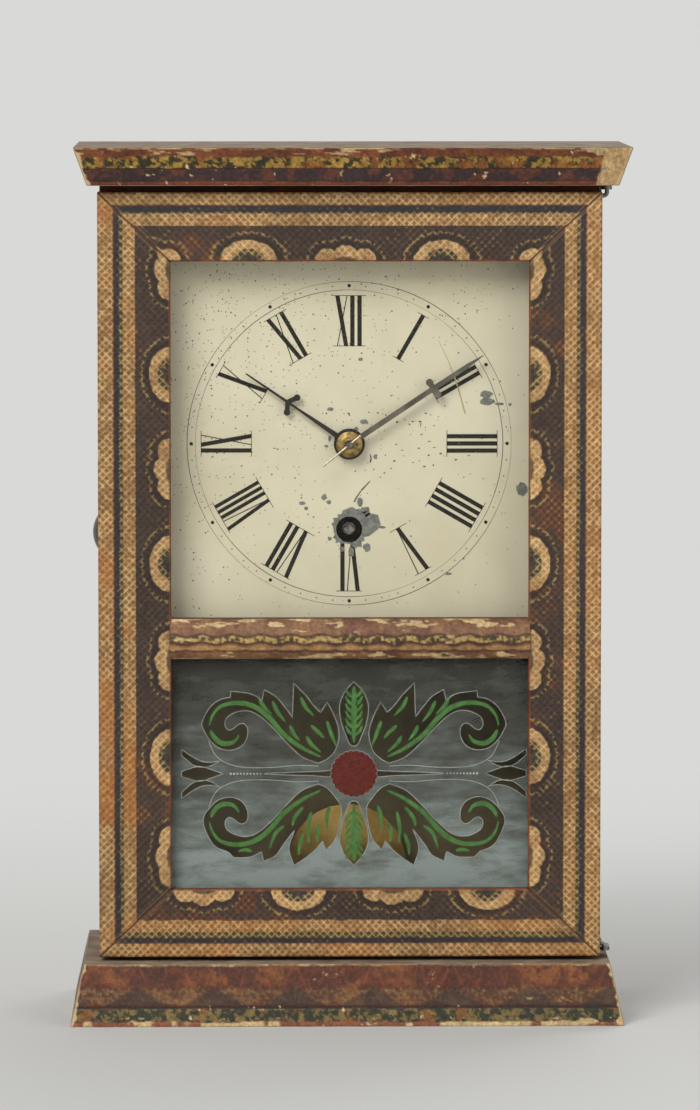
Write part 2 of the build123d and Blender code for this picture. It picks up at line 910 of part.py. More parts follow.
with BuildPart() as dial:
    with BuildSketch(facing(dial_back)):
        with Locations((0, (dial_foot + dial_head) / 2)):
            Rectangle(dial_width, dial_height)
        with Locations(centre_place):
            Circle(dial_hub_hole_radius, mode=Mode.SUBTRACT)
        with Locations(winding_place):
            Circle(winding_hole_radius, mode=Mode.SUBTRACT)
        with Locations(*dial_nail_places):
            Circle(dial_nail_radius, mode=Mode.SUBTRACT)
    extrude(amount=dial_thickness)
dial.part.label = "dial"
export_step(dial.part, "parts/dial.step")

with BuildPart() as dial_blocks:
    with BuildSketch(facing(dial_back + dial_block_depth)):
        for hand in (-1, 1):
            block_x = hand * (case_half - side_thickness - dial_block_width / 2)
            for block_z in (dial_foot + dial_block_height / 2, dial_head - dial_block_height / 2):
                with Locations((block_x, block_z)):
                    Rectangle(dial_block_width, dial_block_height)
    extrude(amount=dial_block_depth)
    with BuildSketch(facing(dial_back + dial_nail_length)):
        with Locations(*dial_nail_places):
            Circle(dial_nail_radius)
    extrude(amount=dial_nail_length, mode=Mode.SUBTRACT)
dial_blocks.part.label = "dial_blocks"
export_step(dial_blocks.part, "parts/dial_blocks.step")

with BuildPart() as dial_nails:
    with BuildSketch(facing(dial_back + dial_nail_length)):
        with Locations(*dial_nail_places):
            Circle(dial_nail_radius)
    extrude(amount=dial_nail_length + dial_thickness)
    with BuildSketch(facing(dial_front)):
        with Locations(*dial_nail_places):
            Circle(dial_nail_head_radius)
    extrude(amount=dial_nail_head_height)
dial_nails.part.label = "dial_nails"
export_step(dial_nails.part, "parts/dial_nails.step")

# Movement frame: two brass plates held apart by four pillars, and four posts to the backboard.
pillar_places = [(hand * pillar_x, z) for hand in (-1, 1) for z in (lower_pillar_z, upper_pillar_z)]
plate_middle = (0, (plate_foot + plate_head) / 2)

with BuildPart() as front_plate:
    with BuildSketch(facing(front_plate_back)):
        with Locations(plate_middle):
            Rectangle(plate_width, plate_height)
        with Locations(*pillar_places):
            Circle(pillar_spigot_radius, mode=Mode.SUBTRACT)
        with Locations(
            (-window_offset, plate_foot + window_rise),
            (window_offset, plate_foot + window_rise),
        ):
            RectangleRounded(window_width, window_height, window_width / 4, mode=Mode.SUBTRACT)
        with Locations(centre_place):
            Circle(centre_arbor_radius + running_clearance, mode=Mode.SUBTRACT)
        with Locations(winding_place):
            Circle(winding_front_radius + running_clearance, mode=Mode.SUBTRACT)
        with Locations(third_place, escape_place):
            Circle(thin_pivot_radius + running_clearance, mode=Mode.SUBTRACT)
        with Locations(stud_place):
            Circle(stud_radius, mode=Mode.SUBTRACT)
    extrude(amount=plate_thickness)
front_plate.part.label = "front_plate"
export_step(front_plate.part, "parts/front_plate.step")

with BuildPart() as back_plate:
    with BuildSketch(facing(back_plate_back)):
        with Locations(plate_middle):
            Rectangle(plate_width, plate_height)
        for lug_z in (lower_lug_z, upper_lug_z):
            with Locations((0, lug_z)):
                Rectangle(plate_width + 2 * lug_width, lug_height)
        with Locations(*pillar_places):
            Circle(pillar_spigot_radius, mode=Mode.SUBTRACT)
        with Locations(*lug_holes):
            Circle(screw_radius, mode=Mode.SUBTRACT)
        with Locations(centre_place):
            Circle(centre_pivot_radius + running_clearance, mode=Mode.SUBTRACT)
        with Locations(winding_place):
            Circle(winding_pivot_radius + running_clearance, mode=Mode.SUBTRACT)
        with Locations(third_place):
            Circle(thin_pivot_radius + running_clearance, mode=Mode.SUBTRACT)
        with Locations(escape_place):
            Circle(thin_arbor_radius + running_clearance, mode=Mode.SUBTRACT)
        with Locations(suspension_place):
            Circle(suspension_post_radius, mode=Mode.SUBTRACT)
        with Locations(verge_place):
            Circle(verge_pin_radius, mode=Mode.SUBTRACT)
    extrude(amount=plate_thickness)
back_plate.part.label = "back_plate"
export_step(back_plate.part, "parts/back_plate.step")

with BuildPart() as plate_pillars:
    with BuildSketch(facing(back_plate_back)):
        with Locations(*pillar_places):
            Circle(pillar_spigot_radius)
    extrude(amount=back_plate_back - front_plate_face)
    with BuildSketch(facing(back_plate_front)):
        with Locations(*pillar_places):
            Circle(pillar_radius)
    extrude(amount=plate_spacing)
plate_pillars.part.label = "plate_pillars"
export_step(plate_pillars.part, "parts/plate_pillars.step")

with BuildPart() as mounting_posts:
    with BuildSketch(facing(backboard_front)):
        with Locations(*lug_holes):
            Circle(post_radius)
            Circle(screw_radius, mode=Mode.SUBTRACT)
    extrude(amount=backboard_front - back_plate_back)
mounting_posts.part.label = "mounting_posts"
export_step(mounting_posts.part, "parts/mounting_posts.step")

with BuildPart() as mounting_screws:
    with BuildSketch(facing(backboard_front + screw_in_board)):
        with Locations(*lug_holes):
            Circle(screw_radius)
    extrude(amount=backboard_front + screw_in_board - back_plate_front)
    with BuildSketch(facing(back_plate_front)):
        with Locations(*lug_holes):
            Circle(screw_head_radius)
    extrude(amount=screw_head_height)
mounting_screws.part.label = "mounting_screws"
export_step(mounting_screws.part, "parts/mounting_screws.step")

# Motion work and hands stack up from the front plate towards the glass.
cannon_back = front_plate_face - end_shake
cannon_front = cannon_back - cannon_length
minute_wheel_back = cannon_back - pinion_overhang
minute_wheel_front = minute_wheel_back - motion_wheel_thickness
hour_wheel_back = cannon_front - motion_wheel_gap
hour_wheel_front = hour_wheel_back - motion_wheel_thickness
minute_pinion_front = hour_wheel_front - motion_pinion_overhang
stud_end = minute_pinion_front - end_shake
hour_hand_back = dial_front - hour_hand_gap
hour_hand_front = hour_hand_back - hand_thickness
minute_hand_back = hour_hand_front - hand_spacing
minute_hand_front = minute_hand_back - hand_thickness
hour_pipe_front = hour_hand_front - end_shake
square_back = hour_pipe_front - end_shake
washer_front = minute_hand_front - washer_height
pin_y = washer_front - pin_gap - pin_thick_radius
arbor_front = pin_y - pin_thick_radius - arbor_past_pin

# Studs on the plates: the suspension post, the verge pin and the minute wheel's stud.
suspension_strip_front = pendulum_y - suspension_strip_width / 2
post_back = pendulum_y + suspension_strip_width / 2 + suspension_post_end
verge_back = escape_wheel_back + escape_to_verge_play + crutch_thickness
verge_front = verge_back - verge_tube_length
verge_pin_end = verge_back + end_shake

with BuildPart() as plate_studs:
    with BuildSketch(facing(post_back)):
        with Locations(suspension_place):
            Circle(suspension_post_radius)
    extrude(amount=post_back - back_plate_front)
    with BuildSketch(facing(post_back)):
        with Locations(suspension_place):
            Rectangle(2 * suspension_slit_half, 3 * suspension_post_radius)
    extrude(amount=post_back - suspension_strip_front + end_shake, mode=Mode.SUBTRACT)
    with BuildSketch(facing(verge_pin_end)):
        with Locations(verge_place):
            Circle(verge_pin_radius)
    extrude(amount=verge_pin_end - back_plate_front)
    with BuildSketch(facing(verge_pin_end + stud_head_thickness)):
        with Locations(verge_place):
            Circle(verge_pin_head_radius)
    extrude(amount=stud_head_thickness)
    with BuildSketch(facing(front_plate_back)):
        with Locations(stud_place):
            Circle(stud_radius)
    extrude(amount=front_plate_back - stud_end)
    with BuildSketch(facing(stud_end)):
        with Locations(stud_place):
            Circle(stud_head_radius)
    extrude(amount=stud_head_thickness)
plate_studs.part.label = "plate_studs"
export_step(plate_studs.part, "parts/plate_studs.step")

# Mainspring: one ribbon wound in half turns, with a tail and a loop round a lower pillar.
spring_foot = mainspring_front + mainspring_width
spring_end_x = mainspring_inner_radius + mainspring_turns * mainspring_pitch
spring_pillar = (pillar_x, lower_pillar_z)
spring_end = (winding_place[0] + spring_end_x, winding_place[1])
loop_inner = pillar_radius + mainspring_loop_clearance
tail_length = math.dist(spring_end, spring_pillar) - loop_inner - mainspring_loop_wall / 2
tail_angle = direction(spring_end, spring_pillar)

with BuildPart() as mainspring:
    with BuildSketch(facing(spring_foot)):
        with BuildLine():
            for half_turn in range(2 * mainspring_turns):
                middle_radius = mainspring_inner_radius + half_turn * mainspring_pitch / 2
                on_left = half_turn % 2
                arc_x = winding_place[0] + on_left * mainspring_pitch / 2
                for edge in (-1, 1):
                    CenterArc(
                        (arc_x, winding_place[1]),
                        middle_radius + edge * mainspring_strip / 2,
                        180 * on_left,
                        -180,
                    )
            for end_x in (mainspring_inner_radius, spring_end_x):
                Line(
                    (winding_place[0] + end_x - mainspring_strip / 2, winding_place[1]),
                    (winding_place[0] + end_x + mainspring_strip / 2, winding_place[1]),
                )
        make_face()
        with Locations(polar(spring_end, tail_length / 2, tail_angle)):
            Rectangle(tail_length + mainspring_strip, mainspring_strip, rotation=tail_angle)
        with Locations(spring_pillar):
            Circle(loop_inner + mainspring_loop_wall)
            Circle(loop_inner, mode=Mode.SUBTRACT)
    extrude(amount=mainspring_width)
mainspring.part.label = "mainspring"
export_step(mainspring.part, "parts/mainspring.step")

# Winding work: the arbor with its square end, the ratchet wheel, the click and its spring.
winding_front = dial_back + winding_end_gap
winding_square_back = winding_front + winding_square_length
winding_steps = (
    (winding_square_back, front_plate_back + end_shake, winding_front_radius),
    (front_plate_back + end_shake, back_plate_front - end_shake, winding_body_radius),
    (back_plate_front - end_shake, back_plate_back, winding_pivot_radius),
)

with BuildPart() as winding_arbor:
    for step_front, step_back, radius in winding_steps:
        with BuildSketch(facing(step_back)):
            with Locations(winding_place):
                Circle(radius)
        extrude(amount=step_back - step_front)
    with BuildSketch(facing(winding_square_back)):
        with Locations(winding_place):
            Rectangle(winding_square, winding_square, rotation=winding_square_turn)
    extrude(amount=winding_square_length)
winding_arbor.part.label = "winding_arbor"
export_step(winding_arbor.part, "parts/winding_arbor.step")

# The seated nose rests against a tooth's steep face, which sets the angle of the ratchet wheel.
click_place = polar(winding_place, click_pivot_distance, click_pivot_angle)
ratchet_step = 360 / ratchet_teeth
ratchet_first_angle = click_nose_angle - ratchet_step / 8

with BuildPart() as ratchet_wheel:
    with BuildSketch(facing(ratchet_back)):
        with BuildLine():
            ratchet_points = []
            for tooth in range(ratchet_teeth):
                face_angle = ratchet_first_angle + tooth * ratchet_step
                ratchet_points.append(polar(winding_place, ratchet_radius, face_angle))
                ratchet_points.append(polar(winding_place, ratchet_radius - ratchet_tooth_depth, face_angle))
            Polyline(*ratchet_points, close=True)
        make_face()
        with Locations(winding_place):
            Circle(winding_body_radius, mode=Mode.SUBTRACT)
    extrude(amount=ratchet_thickness)
ratchet_wheel.part.label = "ratchet_wheel"
export_step(ratchet_wheel.part, "parts/ratchet_wheel.step")

with BuildPart() as great_wheel:
    with BuildSketch(facing(great_wheel_back)):
        with BuildLine():
            Polyline(*wheel_outline(winding_place, great_teeth, great_module, 90), close=True)
        make_face()
        with Locations(winding_place):
            Circle(winding_body_radius + running_clearance, mode=Mode.SUBTRACT)
    extrude(amount=great_wheel_thickness)
    with BuildSketch(facing(great_wheel_front)):
        with Locations(click_place):
            Circle(click_stud_radius)
    extrude(amount=great_wheel_front - ratchet_front + end_shake)
great_wheel.part.label = "great_wheel"
export_step(great_wheel.part, "parts/great_wheel.step")

click_step = ratchet_step / 18
with BuildPart() as click:
    with BuildSketch(facing(ratchet_back)):
        with BuildLine():
            Polyline(
                polar(winding_place, click_nose_radius, click_nose_angle - click_step / 2),
                polar(winding_place, click_nose_radius, click_nose_angle + click_step),
                polar(winding_place, click_arm_inner, click_nose_angle + 5 * click_step),
                polar(click_place, click_eye_radius, click_pivot_angle + 150),
                polar(click_place, click_eye_radius, click_pivot_angle - 60),
                polar(winding_place, click_arm_outer, click_nose_angle - 3 * click_step),
                polar(winding_place, click_arm_inner, click_nose_angle - 3 * click_step),
                close=True,
            )
        make_face()
        with Locations(click_place):
            Circle(click_eye_radius)
            Circle(click_stud_radius + running_clearance, mode=Mode.SUBTRACT)
    extrude(amount=ratchet_thickness)
click.part.label = "click"
export_step(click.part, "parts/click.step")

click_spring_foot = polar(winding_place, click_spring_foot_distance, click_spring_foot_angle)
click_spring_tip = polar(winding_place, click_arm_outer + 2 * click_spring_width, click_nose_angle)
click_spring_angle = direction(click_spring_foot, click_spring_tip)
click_spring_length = math.dist(click_spring_foot, click_spring_tip)

with BuildPart() as click_spring:
    with BuildSketch(facing(ratchet_back)):
        with Locations(polar(click_spring_foot, click_spring_length / 2, click_spring_angle)):
            Rectangle(click_spring_length, click_spring_width, rotation=click_spring_angle)
    extrude(amount=ratchet_thickness)
    with BuildSketch(facing(great_wheel_front)):
        with Locations(click_spring_foot):
            Circle(click_spring_rivet_radius)
    extrude(amount=great_wheel_front - ratchet_front)
click_spring.part.label = "click_spring"
export_step(click_spring.part, "parts/click_spring.step")

# Centre wheel: it turns freely on the centre arbor, which it drives by friction.
third_angle = direction(centre_place, third_place)
centre_tube_front = centre_wheel_front
pinion_back = great_wheel_back + pinion_overhang

with BuildPart() as centre_wheel:
    with BuildSketch(facing(centre_wheel_back)):
        with BuildLine():
            Polyline(*wheel_outline(centre_place, centre_teeth, train_module, third_angle), close=True)
        make_face()
        centre_rim = pitch_radius(centre_teeth, train_module) - wheel_dedendum * train_module - rim_width
        crossing(centre_place, centre_rim, wheel_hub_radius, third_angle)
        with Locations(centre_place):
            Circle(centre_tube_radius, mode=Mode.SUBTRACT)
    extrude(amount=centre_wheel_thickness)
centre_wheel.part.label = "centre_wheel"
export_step(centre_wheel.part, "parts/centre_wheel.step")

with BuildPart() as centre_pinion:
    with BuildSketch(facing(pinion_back)):
        with BuildLine():
            Polyline(
                *leaf_outline(centre_place, centre_leaves, great_module, beside_gap(90, centre_leaves)),
                close=True,
            )
        make_face()
    extrude(amount=pinion_back - great_wheel_front + pinion_overhang)
    with BuildSketch(facing(pinion_back)):
        with Locations(centre_place):
            Circle(centre_tube_radius)
    extrude(amount=pinion_back - centre_tube_front)
    with BuildSketch(facing(pinion_back)):
        with Locations(centre_place):
            Circle(centre_arbor_radius + running_clearance)
    extrude(amount=pinion_back - centre_tube_front, mode=Mode.SUBTRACT)
centre_pinion.part.label = "centre_pinion"
export_step(centre_pinion.part, "parts/centre_pinion.step")

# Centre arbor: it carries the cannon pinion and the minute hand through both plates.
collar_front = pinion_back + end_shake
centre_steps = (
    (square_back, back_plate_front - end_shake, centre_arbor_radius),
    (collar_front, collar_front + centre_collar_thickness, centre_collar_radius),
    (back_plate_front - end_shake, back_plate_back, centre_pivot_radius),
)
pin_plane = Plane(
    origin=(
        centre_place[0] - pin_tail * math.cos(math.radians(pin_angle)),
        pin_y,
        centre_place[1] - pin_tail * math.sin(math.radians(pin_angle)),
    ),
    z_dir=(math.cos(math.radians(pin_angle)), 0, math.sin(math.radians(pin_angle))),
)

with BuildPart() as centre_arbor:
    for step_front, step_back, radius in centre_steps:
        with BuildSketch(facing(step_back)):
            with Locations(centre_place):
                Circle(radius)
        extrude(amount=step_back - step_front)
    with BuildSketch(facing(square_back)):
        with Locations(centre_place):
            Rectangle(hand_square, hand_square, rotation=hand_square_turn)
    extrude(amount=square_back - arbor_front)
    with BuildSketch(pin_plane):
        Circle(pin_thick_radius)
    extrude(amount=pin_length, mode=Mode.SUBTRACT)
centre_arbor.part.label = "centre_arbor"
export_step(centre_arbor.part, "parts/centre_arbor.step")

# Third and escape arbors with their pinions cut in one piece, and their wheels.
escape_angle = direction(third_place, escape_place)
third_first_leaf = beside_gap(third_angle, third_leaves)
escape_first_leaf = beside_gap(escape_angle, escape_leaves)
third_pinion_front = centre_wheel_front - end_shake / 2
third_pinion_back = centre_wheel_back + pinion_overhang
thin_arbor_front = front_plate_back + end_shake / 3
thin_arbor_back = back_plate_front - end_shake
escape_arbor_back = escape_wheel_back + escape_to_verge_play / 4

with BuildPart() as third_arbor:
    with BuildSketch(facing(back_plate_back)):
        with Locations(third_place):
            Circle(thin_pivot_radius)
    extrude(amount=back_plate_back - front_plate_face)
    with BuildSketch(facing(thin_arbor_back)):
        with Locations(third_place):
            Circle(thin_arbor_radius)
    extrude(amount=thin_arbor_back - thin_arbor_front)
    with BuildSketch(facing(third_pinion_back)):
        with BuildLine():
            Polyline(*leaf_outline(third_place, third_leaves, train_module, third_first_leaf), close=True)
        make_face()
    extrude(amount=third_pinion_back - third_pinion_front)
third_arbor.part.label = "third_arbor"
export_step(third_arbor.part, "parts/third_arbor.step")

with BuildPart() as third_wheel:
    with BuildSketch(facing(third_wheel_back)):
        with BuildLine():
            Polyline(*wheel_outline(third_place, third_teeth, train_module, escape_angle), close=True)
        make_face()
        third_rim = pitch_radius(third_teeth, train_module) - wheel_dedendum * train_module - rim_width
        crossing(third_place, third_rim, wheel_hub_radius, escape_angle)
        with Locations(third_place):
            Circle(thin_arbor_radius, mode=Mode.SUBTRACT)
    extrude(amount=third_wheel_thickness)
third_wheel.part.label = "third_wheel"
export_step(third_wheel.part, "parts/third_wheel.step")

with BuildPart() as escape_arbor:
    with BuildSketch(facing(thin_arbor_front)):
        with Locations(escape_place):
            Circle(thin_pivot_radius)
    extrude(amount=thin_arbor_front - front_plate_face)
    with BuildSketch(facing(escape_arbor_back)):
        with Locations(escape_place):
            Circle(thin_arbor_radius)
    extrude(amount=escape_arbor_back - thin_arbor_front)
    with BuildSketch(facing(third_wheel_back + pinion_overhang)):
        with BuildLine():
            Polyline(*leaf_outline(escape_place, escape_leaves, train_module, escape_first_leaf), close=True)
        make_face()
    extrude(amount=third_wheel_thickness + 2 * pinion_overhang)
escape_arbor.part.label = "escape_arbor"
export_step(escape_arbor.part, "parts/escape_arbor.step")

# The teeth stand a quarter of a step from each pallet, so either nose can dip between two of them.
escape_step = 360 / escape_teeth
nose_angle = 90 - pallet_half_angle
with BuildPart() as escape_wheel:
    with BuildSketch(facing(escape_wheel_back)):
        with BuildLine():
            escape_points = []
            for tooth in range(escape_teeth):
                middle = nose_angle + escape_step / 4 + tooth * escape_step
                for radius, offset in (
                    (escape_root_radius, -escape_root_half_angle),
                    (escape_radius, -escape_tip_half_angle),
                    (escape_radius, escape_tip_half_angle),
                    (escape_root_radius, escape_root_half_angle),
                ):
                    escape_points.append(polar(escape_place, radius, middle + offset))
            Polyline(*escape_points, close=True)
        make_face()
        crossing(escape_place, escape_root_radius - rim_width, wheel_hub_radius, nose_angle)
        with Locations(escape_place):
            Circle(thin_arbor_radius, mode=Mode.SUBTRACT)
    extrude(amount=escape_wheel_thickness)
escape_wheel.part.label = "escape_wheel"
export_step(escape_wheel.part, "parts/escape_wheel.step")

# Verge: a strip with two pallet noses on a tube, and the crutch that reaches down to the pendulum rod.
nose_distance = escape_radius + pallet_clearance
nose_place = polar(escape_place, nose_distance, nose_angle)
arm_length = math.dist(nose_place, verge_place)


def pallet_point(hand, along, out):
    # A point of a pallet arm: along the tangent from its nose to the verge, and out from the wheel.
    towards_verge = (nose_angle + 90, along)
    outward = (nose_angle, out)
    x, z = polar(polar(nose_place, towards_verge[1], towards_verge[0]), outward[1], outward[0])
    return (hand * x, z)


crutch_block_z = verge_place[1] - crutch_drop
crutch_block_front = verge_back - crutch_thickness
crutch_slot_front = pendulum_y - rod_radius - crutch_wall
crutch_slot_back = pendulum_y + rod_radius + crutch_wall
crutch_block_back = crutch_slot_back + crutch_wall
crutch_block_half = crutch_slot_half + crutch_wall

with BuildPart() as verge:
    with BuildSketch(facing(verge_front + verge_strip_width)):
        for hand in (-1, 1):
            with BuildLine():
                Polyline(
                    pallet_point(hand, -pallet_nose_half, 0),
                    pallet_point(hand, pallet_nose_half, 0),
                    pallet_point(hand, pallet_neck_half, pallet_nose_height),
                    pallet_point(hand, arm_length, pallet_nose_height),
                    pallet_point(hand, arm_length, pallet_nose_height + verge_strip_thickness),
                    pallet_point(hand, -pallet_neck_half, pallet_nose_height + verge_strip_thickness),
                    close=True,
                )
            make_face()
        with Locations(verge_place):
            Circle(verge_tube_radius)
    extrude(amount=verge_strip_width)
    with BuildSketch(facing(verge_back)):
        with Locations(verge_place):
            Circle(verge_tube_radius)
    extrude(amount=verge_tube_length)
    with BuildSketch(facing(verge_back)):
        with Locations((0, verge_place[1] - crutch_drop / 2)):
            Rectangle(crutch_width, crutch_drop)
    extrude(amount=crutch_thickness)
    with BuildSketch(Plane.XY.offset(crutch_block_z - crutch_block_height / 2)):
        with Locations((0, (crutch_block_front + crutch_block_back) / 2)):
            Rectangle(2 * crutch_block_half, crutch_block_back - crutch_block_front)
        with Locations((0, (crutch_slot_front + crutch_slot_back) / 2)):
            Rectangle(2 * crutch_slot_half, crutch_slot_back - crutch_slot_front, mode=Mode.SUBTRACT)
    extrude(amount=crutch_block_height)
    with BuildSketch(facing(verge_back)):
        with Locations(verge_place):
            Circle(verge_pin_radius + running_clearance)
    extrude(amount=verge_tube_length, mode=Mode.SUBTRACT)
verge.part.label = "verge"
export_step(verge.part, "parts/verge.step")

# Pendulum: a flat suspension strip in the post's slit, the rod, the bob and its rating nut.
bead_foot = suspension_place[1] + suspension_post_radius + end_shake
strip_foot = suspension_place[1] - suspension_strip_drop
nut_head = bob_height - bob_radius - rating_nut_gap
nut_foot = nut_head - rating_nut_height
rod_foot = nut_foot - rod_below_nut

with BuildPart() as pendulum_rod:
    with BuildSketch(Plane.XY.offset(strip_foot)):
        with Locations((0, pendulum_y)):
            Rectangle(2 * suspension_strip_half, suspension_strip_width)
    extrude(amount=bead_foot - strip_foot)
    with BuildSketch(Plane.XY.offset(bead_foot)):
        with Locations((0, pendulum_y)):
            Rectangle(2 * suspension_bead_half, suspension_strip_width)
    extrude(amount=suspension_bead_height)
    with BuildSketch(Plane.XY.offset(rod_foot)):
        with Locations((0, pendulum_y)):
            Circle(rod_radius)
    extrude(amount=strip_foot + suspension_strip_width - rod_foot)
pendulum_rod.part.label = "pendulum_rod"
export_step(pendulum_rod.part, "parts/pendulum_rod.step")

bob_rise = (bob_thickness - bob_rim_thickness) / 2
with BuildPart() as bob:
    with BuildSketch(Plane.XY.offset(bob_height)):
        with BuildLine():
            for facing_hand in (-1, 1):
                rim_y = pendulum_y + facing_hand * bob_rim_thickness / 2
                ThreePointArc(
                    (bob_radius, rim_y),
                    (bob_radius / 2, rim_y + facing_hand * dome(bob_radius, bob_rise, bob_radius / 2)),
                    (0, rim_y + facing_hand * bob_rise),
                )
            Line(
                (bob_radius, pendulum_y - bob_rim_thickness / 2),
                (bob_radius, pendulum_y + bob_rim_thickness / 2),
            )
            Line(
                (0, pendulum_y - bob_thickness / 2),
                (0, pendulum_y + bob_thickness / 2),
            )
        make_face()
    revolve(axis=Axis((0, 0, bob_height), (0, 1, 0)))
    with BuildSketch(Plane.XY.offset(bob_height - bob_radius)):
        with Locations((0, pendulum_y)):
            Circle(rod_radius)
    extrude(amount=2 * bob_radius, mode=Mode.SUBTRACT)
bob.part.label = "bob"
export_step(bob.part, "parts/bob.step")

with BuildPart() as rating_nut:
    with BuildSketch(Plane.XY.offset(nut_foot)):
        with Locations((0, pendulum_y)):
            RegularPolygon(rating_nut_radius, 6)
            Circle(rod_radius, mode=Mode.SUBTRACT)
    extrude(amount=rating_nut_height)
rating_nut.part.label = "rating_nut"
export_step(rating_nut.part, "parts/rating_nut.step")

# Motion work: cannon pinion, minute wheel with its pinion, and hour wheel with its pipe.
minute_first_tooth = beside_gap(minute_stud_angle, minute_teeth)
minute_first_leaf = minute_stud_angle + 180
hour_first_tooth = beside_gap(minute_stud_angle + 180, hour_teeth)

with BuildPart() as cannon_pinion:
    with BuildSketch(facing(cannon_back)):
        with BuildLine():
            Polyline(*leaf_outline(centre_place, cannon_leaves, minute_module, minute_stud_angle), close=True)
        make_face()
        with Locations(centre_place):
            Circle(centre_arbor_radius, mode=Mode.SUBTRACT)
    extrude(amount=cannon_length)
cannon_pinion.part.label = "cannon_pinion"
export_step(cannon_pinion.part, "parts/cannon_pinion.step")

with BuildPart() as minute_wheel:
    with BuildSketch(facing(minute_wheel_back)):
        with BuildLine():
            Polyline(*wheel_outline(stud_place, minute_teeth, minute_module, minute_first_tooth), close=True)
        make_face()
    extrude(amount=motion_wheel_thickness)
    with BuildSketch(facing(minute_wheel_front)):
        with BuildLine():
            Polyline(*leaf_outline(stud_place, minute_leaves, hour_module, minute_first_leaf), close=True)
        make_face()
    extrude(amount=minute_wheel_front - minute_pinion_front)
    with BuildSketch(facing(minute_wheel_back)):
        with Locations(stud_place):
            Circle(stud_radius + running_clearance)
    extrude(amount=minute_wheel_back - minute_pinion_front, mode=Mode.SUBTRACT)
minute_wheel.part.label = "minute_wheel"
export_step(minute_wheel.part, "parts/minute_wheel.step")

with BuildPart() as hour_wheel:
    with BuildSketch(facing(hour_wheel_back)):
        with BuildLine():
            Polyline(*wheel_outline(centre_place, hour_teeth, hour_module, hour_first_tooth), close=True)
        make_face()
    extrude(amount=motion_wheel_thickness)
    with BuildSketch(facing(hour_wheel_back)):
        with Locations(centre_place):
            Circle(hour_pipe_radius)
    extrude(amount=hour_wheel_back - hour_pipe_front)
    with BuildSketch(facing(hour_wheel_back)):
        with Locations(centre_place):
            Circle(centre_arbor_radius + running_clearance)
    extrude(amount=hour_wheel_back - hour_pipe_front, mode=Mode.SUBTRACT)
hour_wheel.part.label = "hour_wheel"
export_step(hour_wheel.part, "parts/hour_wheel.step")


# Hands: a tapered blade with a cross of two lobes, washer and taper pin.
def blade_outline(angle, stations):
    # Both edges of a blade from stations of distance from the hub and half width.
    right_edge = []
    left_edge = []
    for distance, half in stations:
        middle = polar(centre_place, distance, angle)
        right_edge.append(polar(middle, half, angle - 90))
        left_edge.append(polar(middle, half, angle + 90))
    return right_edge + left_edge[::-1]


hour_stations = (
    (0, hour_blade_half),
    (hour_cross_distance - hour_waist_before_cross, hour_waist_half),
    (hour_cross_distance + hour_cross_sweep, hour_outer_half),
    (hour_hand_length, hour_tip_half),
)
minute_stations = (
    (0, minute_blade_half),
    (minute_cross_distance, minute_waist_half),
    (minute_blade_end, minute_blade_end_half),
    (minute_hand_length, minute_tip_half),
)
hour_cross = (hour_cross_distance, hour_cross_half, hour_cross_sweep, hour_arm_half, hour_lobe_radius)
minute_cross = (
    minute_cross_distance,
    minute_cross_half,
    minute_cross_sweep,
    minute_arm_half,
    minute_lobe_radius,
)
hand_rows = (
    ("hour_hand", hour_hand_back, hour_hand_angle, hour_boss_radius, hour_stations, hour_cross),
    ("minute_hand", minute_hand_back, minute_hand_angle, minute_boss_radius, minute_stations, minute_cross),
)
for name, hand_back, angle, boss_radius, stations, cross in hand_rows:
    cross_distance, cross_half, cross_sweep, arm_half, lobe_radius = cross
    # The arms start further out than their lobes by the sweep, and lean back to them.
    join_place = polar(centre_place, cross_distance + cross_sweep, angle)
    arm_length = math.hypot(cross_half, cross_sweep)
    arm_lean = 90 + math.degrees(math.atan2(cross_sweep, cross_half))
    arm_angles = (angle - arm_lean, angle + arm_lean)
    with BuildPart() as hand_part:
        with BuildSketch(facing(hand_back)):
            with BuildLine():
                Polyline(*blade_outline(angle, stations), close=True)
            make_face()
            with Locations(centre_place):
                Circle(boss_radius)
            with Locations(join_place):
                Circle(arm_half)
            for arm_angle in arm_angles:
                with Locations(polar(join_place, arm_length / 2, arm_angle)):
                    Rectangle(arm_length, 2 * arm_half, rotation=arm_angle)
                with Locations(polar(join_place, arm_length, arm_angle)):
                    Circle(lobe_radius)
            with Locations(centre_place):
                if name == "hour_hand":
                    Circle(hour_pipe_radius, mode=Mode.SUBTRACT)
                else:
                    square_hole = hand_square + 2 * square_clearance
                    Rectangle(square_hole, square_hole, rotation=hand_square_turn, mode=Mode.SUBTRACT)
        extrude(amount=hand_thickness)
    hand_part.part.label = name
    export_step(hand_part.part, f"parts/{name}.step")

washer_hole = centre_arbor_radius + running_clearance
washer_shoulder = washer_radius * 0.62
with BuildPart() as hand_washer:
    with BuildSketch(Plane.XY.offset(centre_place[1])):
        with BuildLine():
            Polyline(
                (washer_hole, minute_hand_front),
                (washer_radius, minute_hand_front),
                (washer_radius, minute_hand_front - washer_sheet),
                (washer_shoulder, washer_front),
                (washer_hole, washer_front),
                close=True,
            )
        make_face()
    revolve(axis=Axis((0, 0, centre_place[1]), (0, 1, 0)))
hand_washer.part.label = "hand_washer"
export_step(hand_washer.part, "parts/hand_washer.step")

with BuildPart() as hand_pin:
    with BuildSketch(pin_plane):
        Circle(pin_thin_radius)
    with BuildSketch(pin_plane.offset(pin_length)):
        Circle(pin_thick_radius)
    loft()
hand_pin.part.label = "hand_pin"
export_step(hand_pin.part, "parts/hand_pin.step")
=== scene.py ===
import math

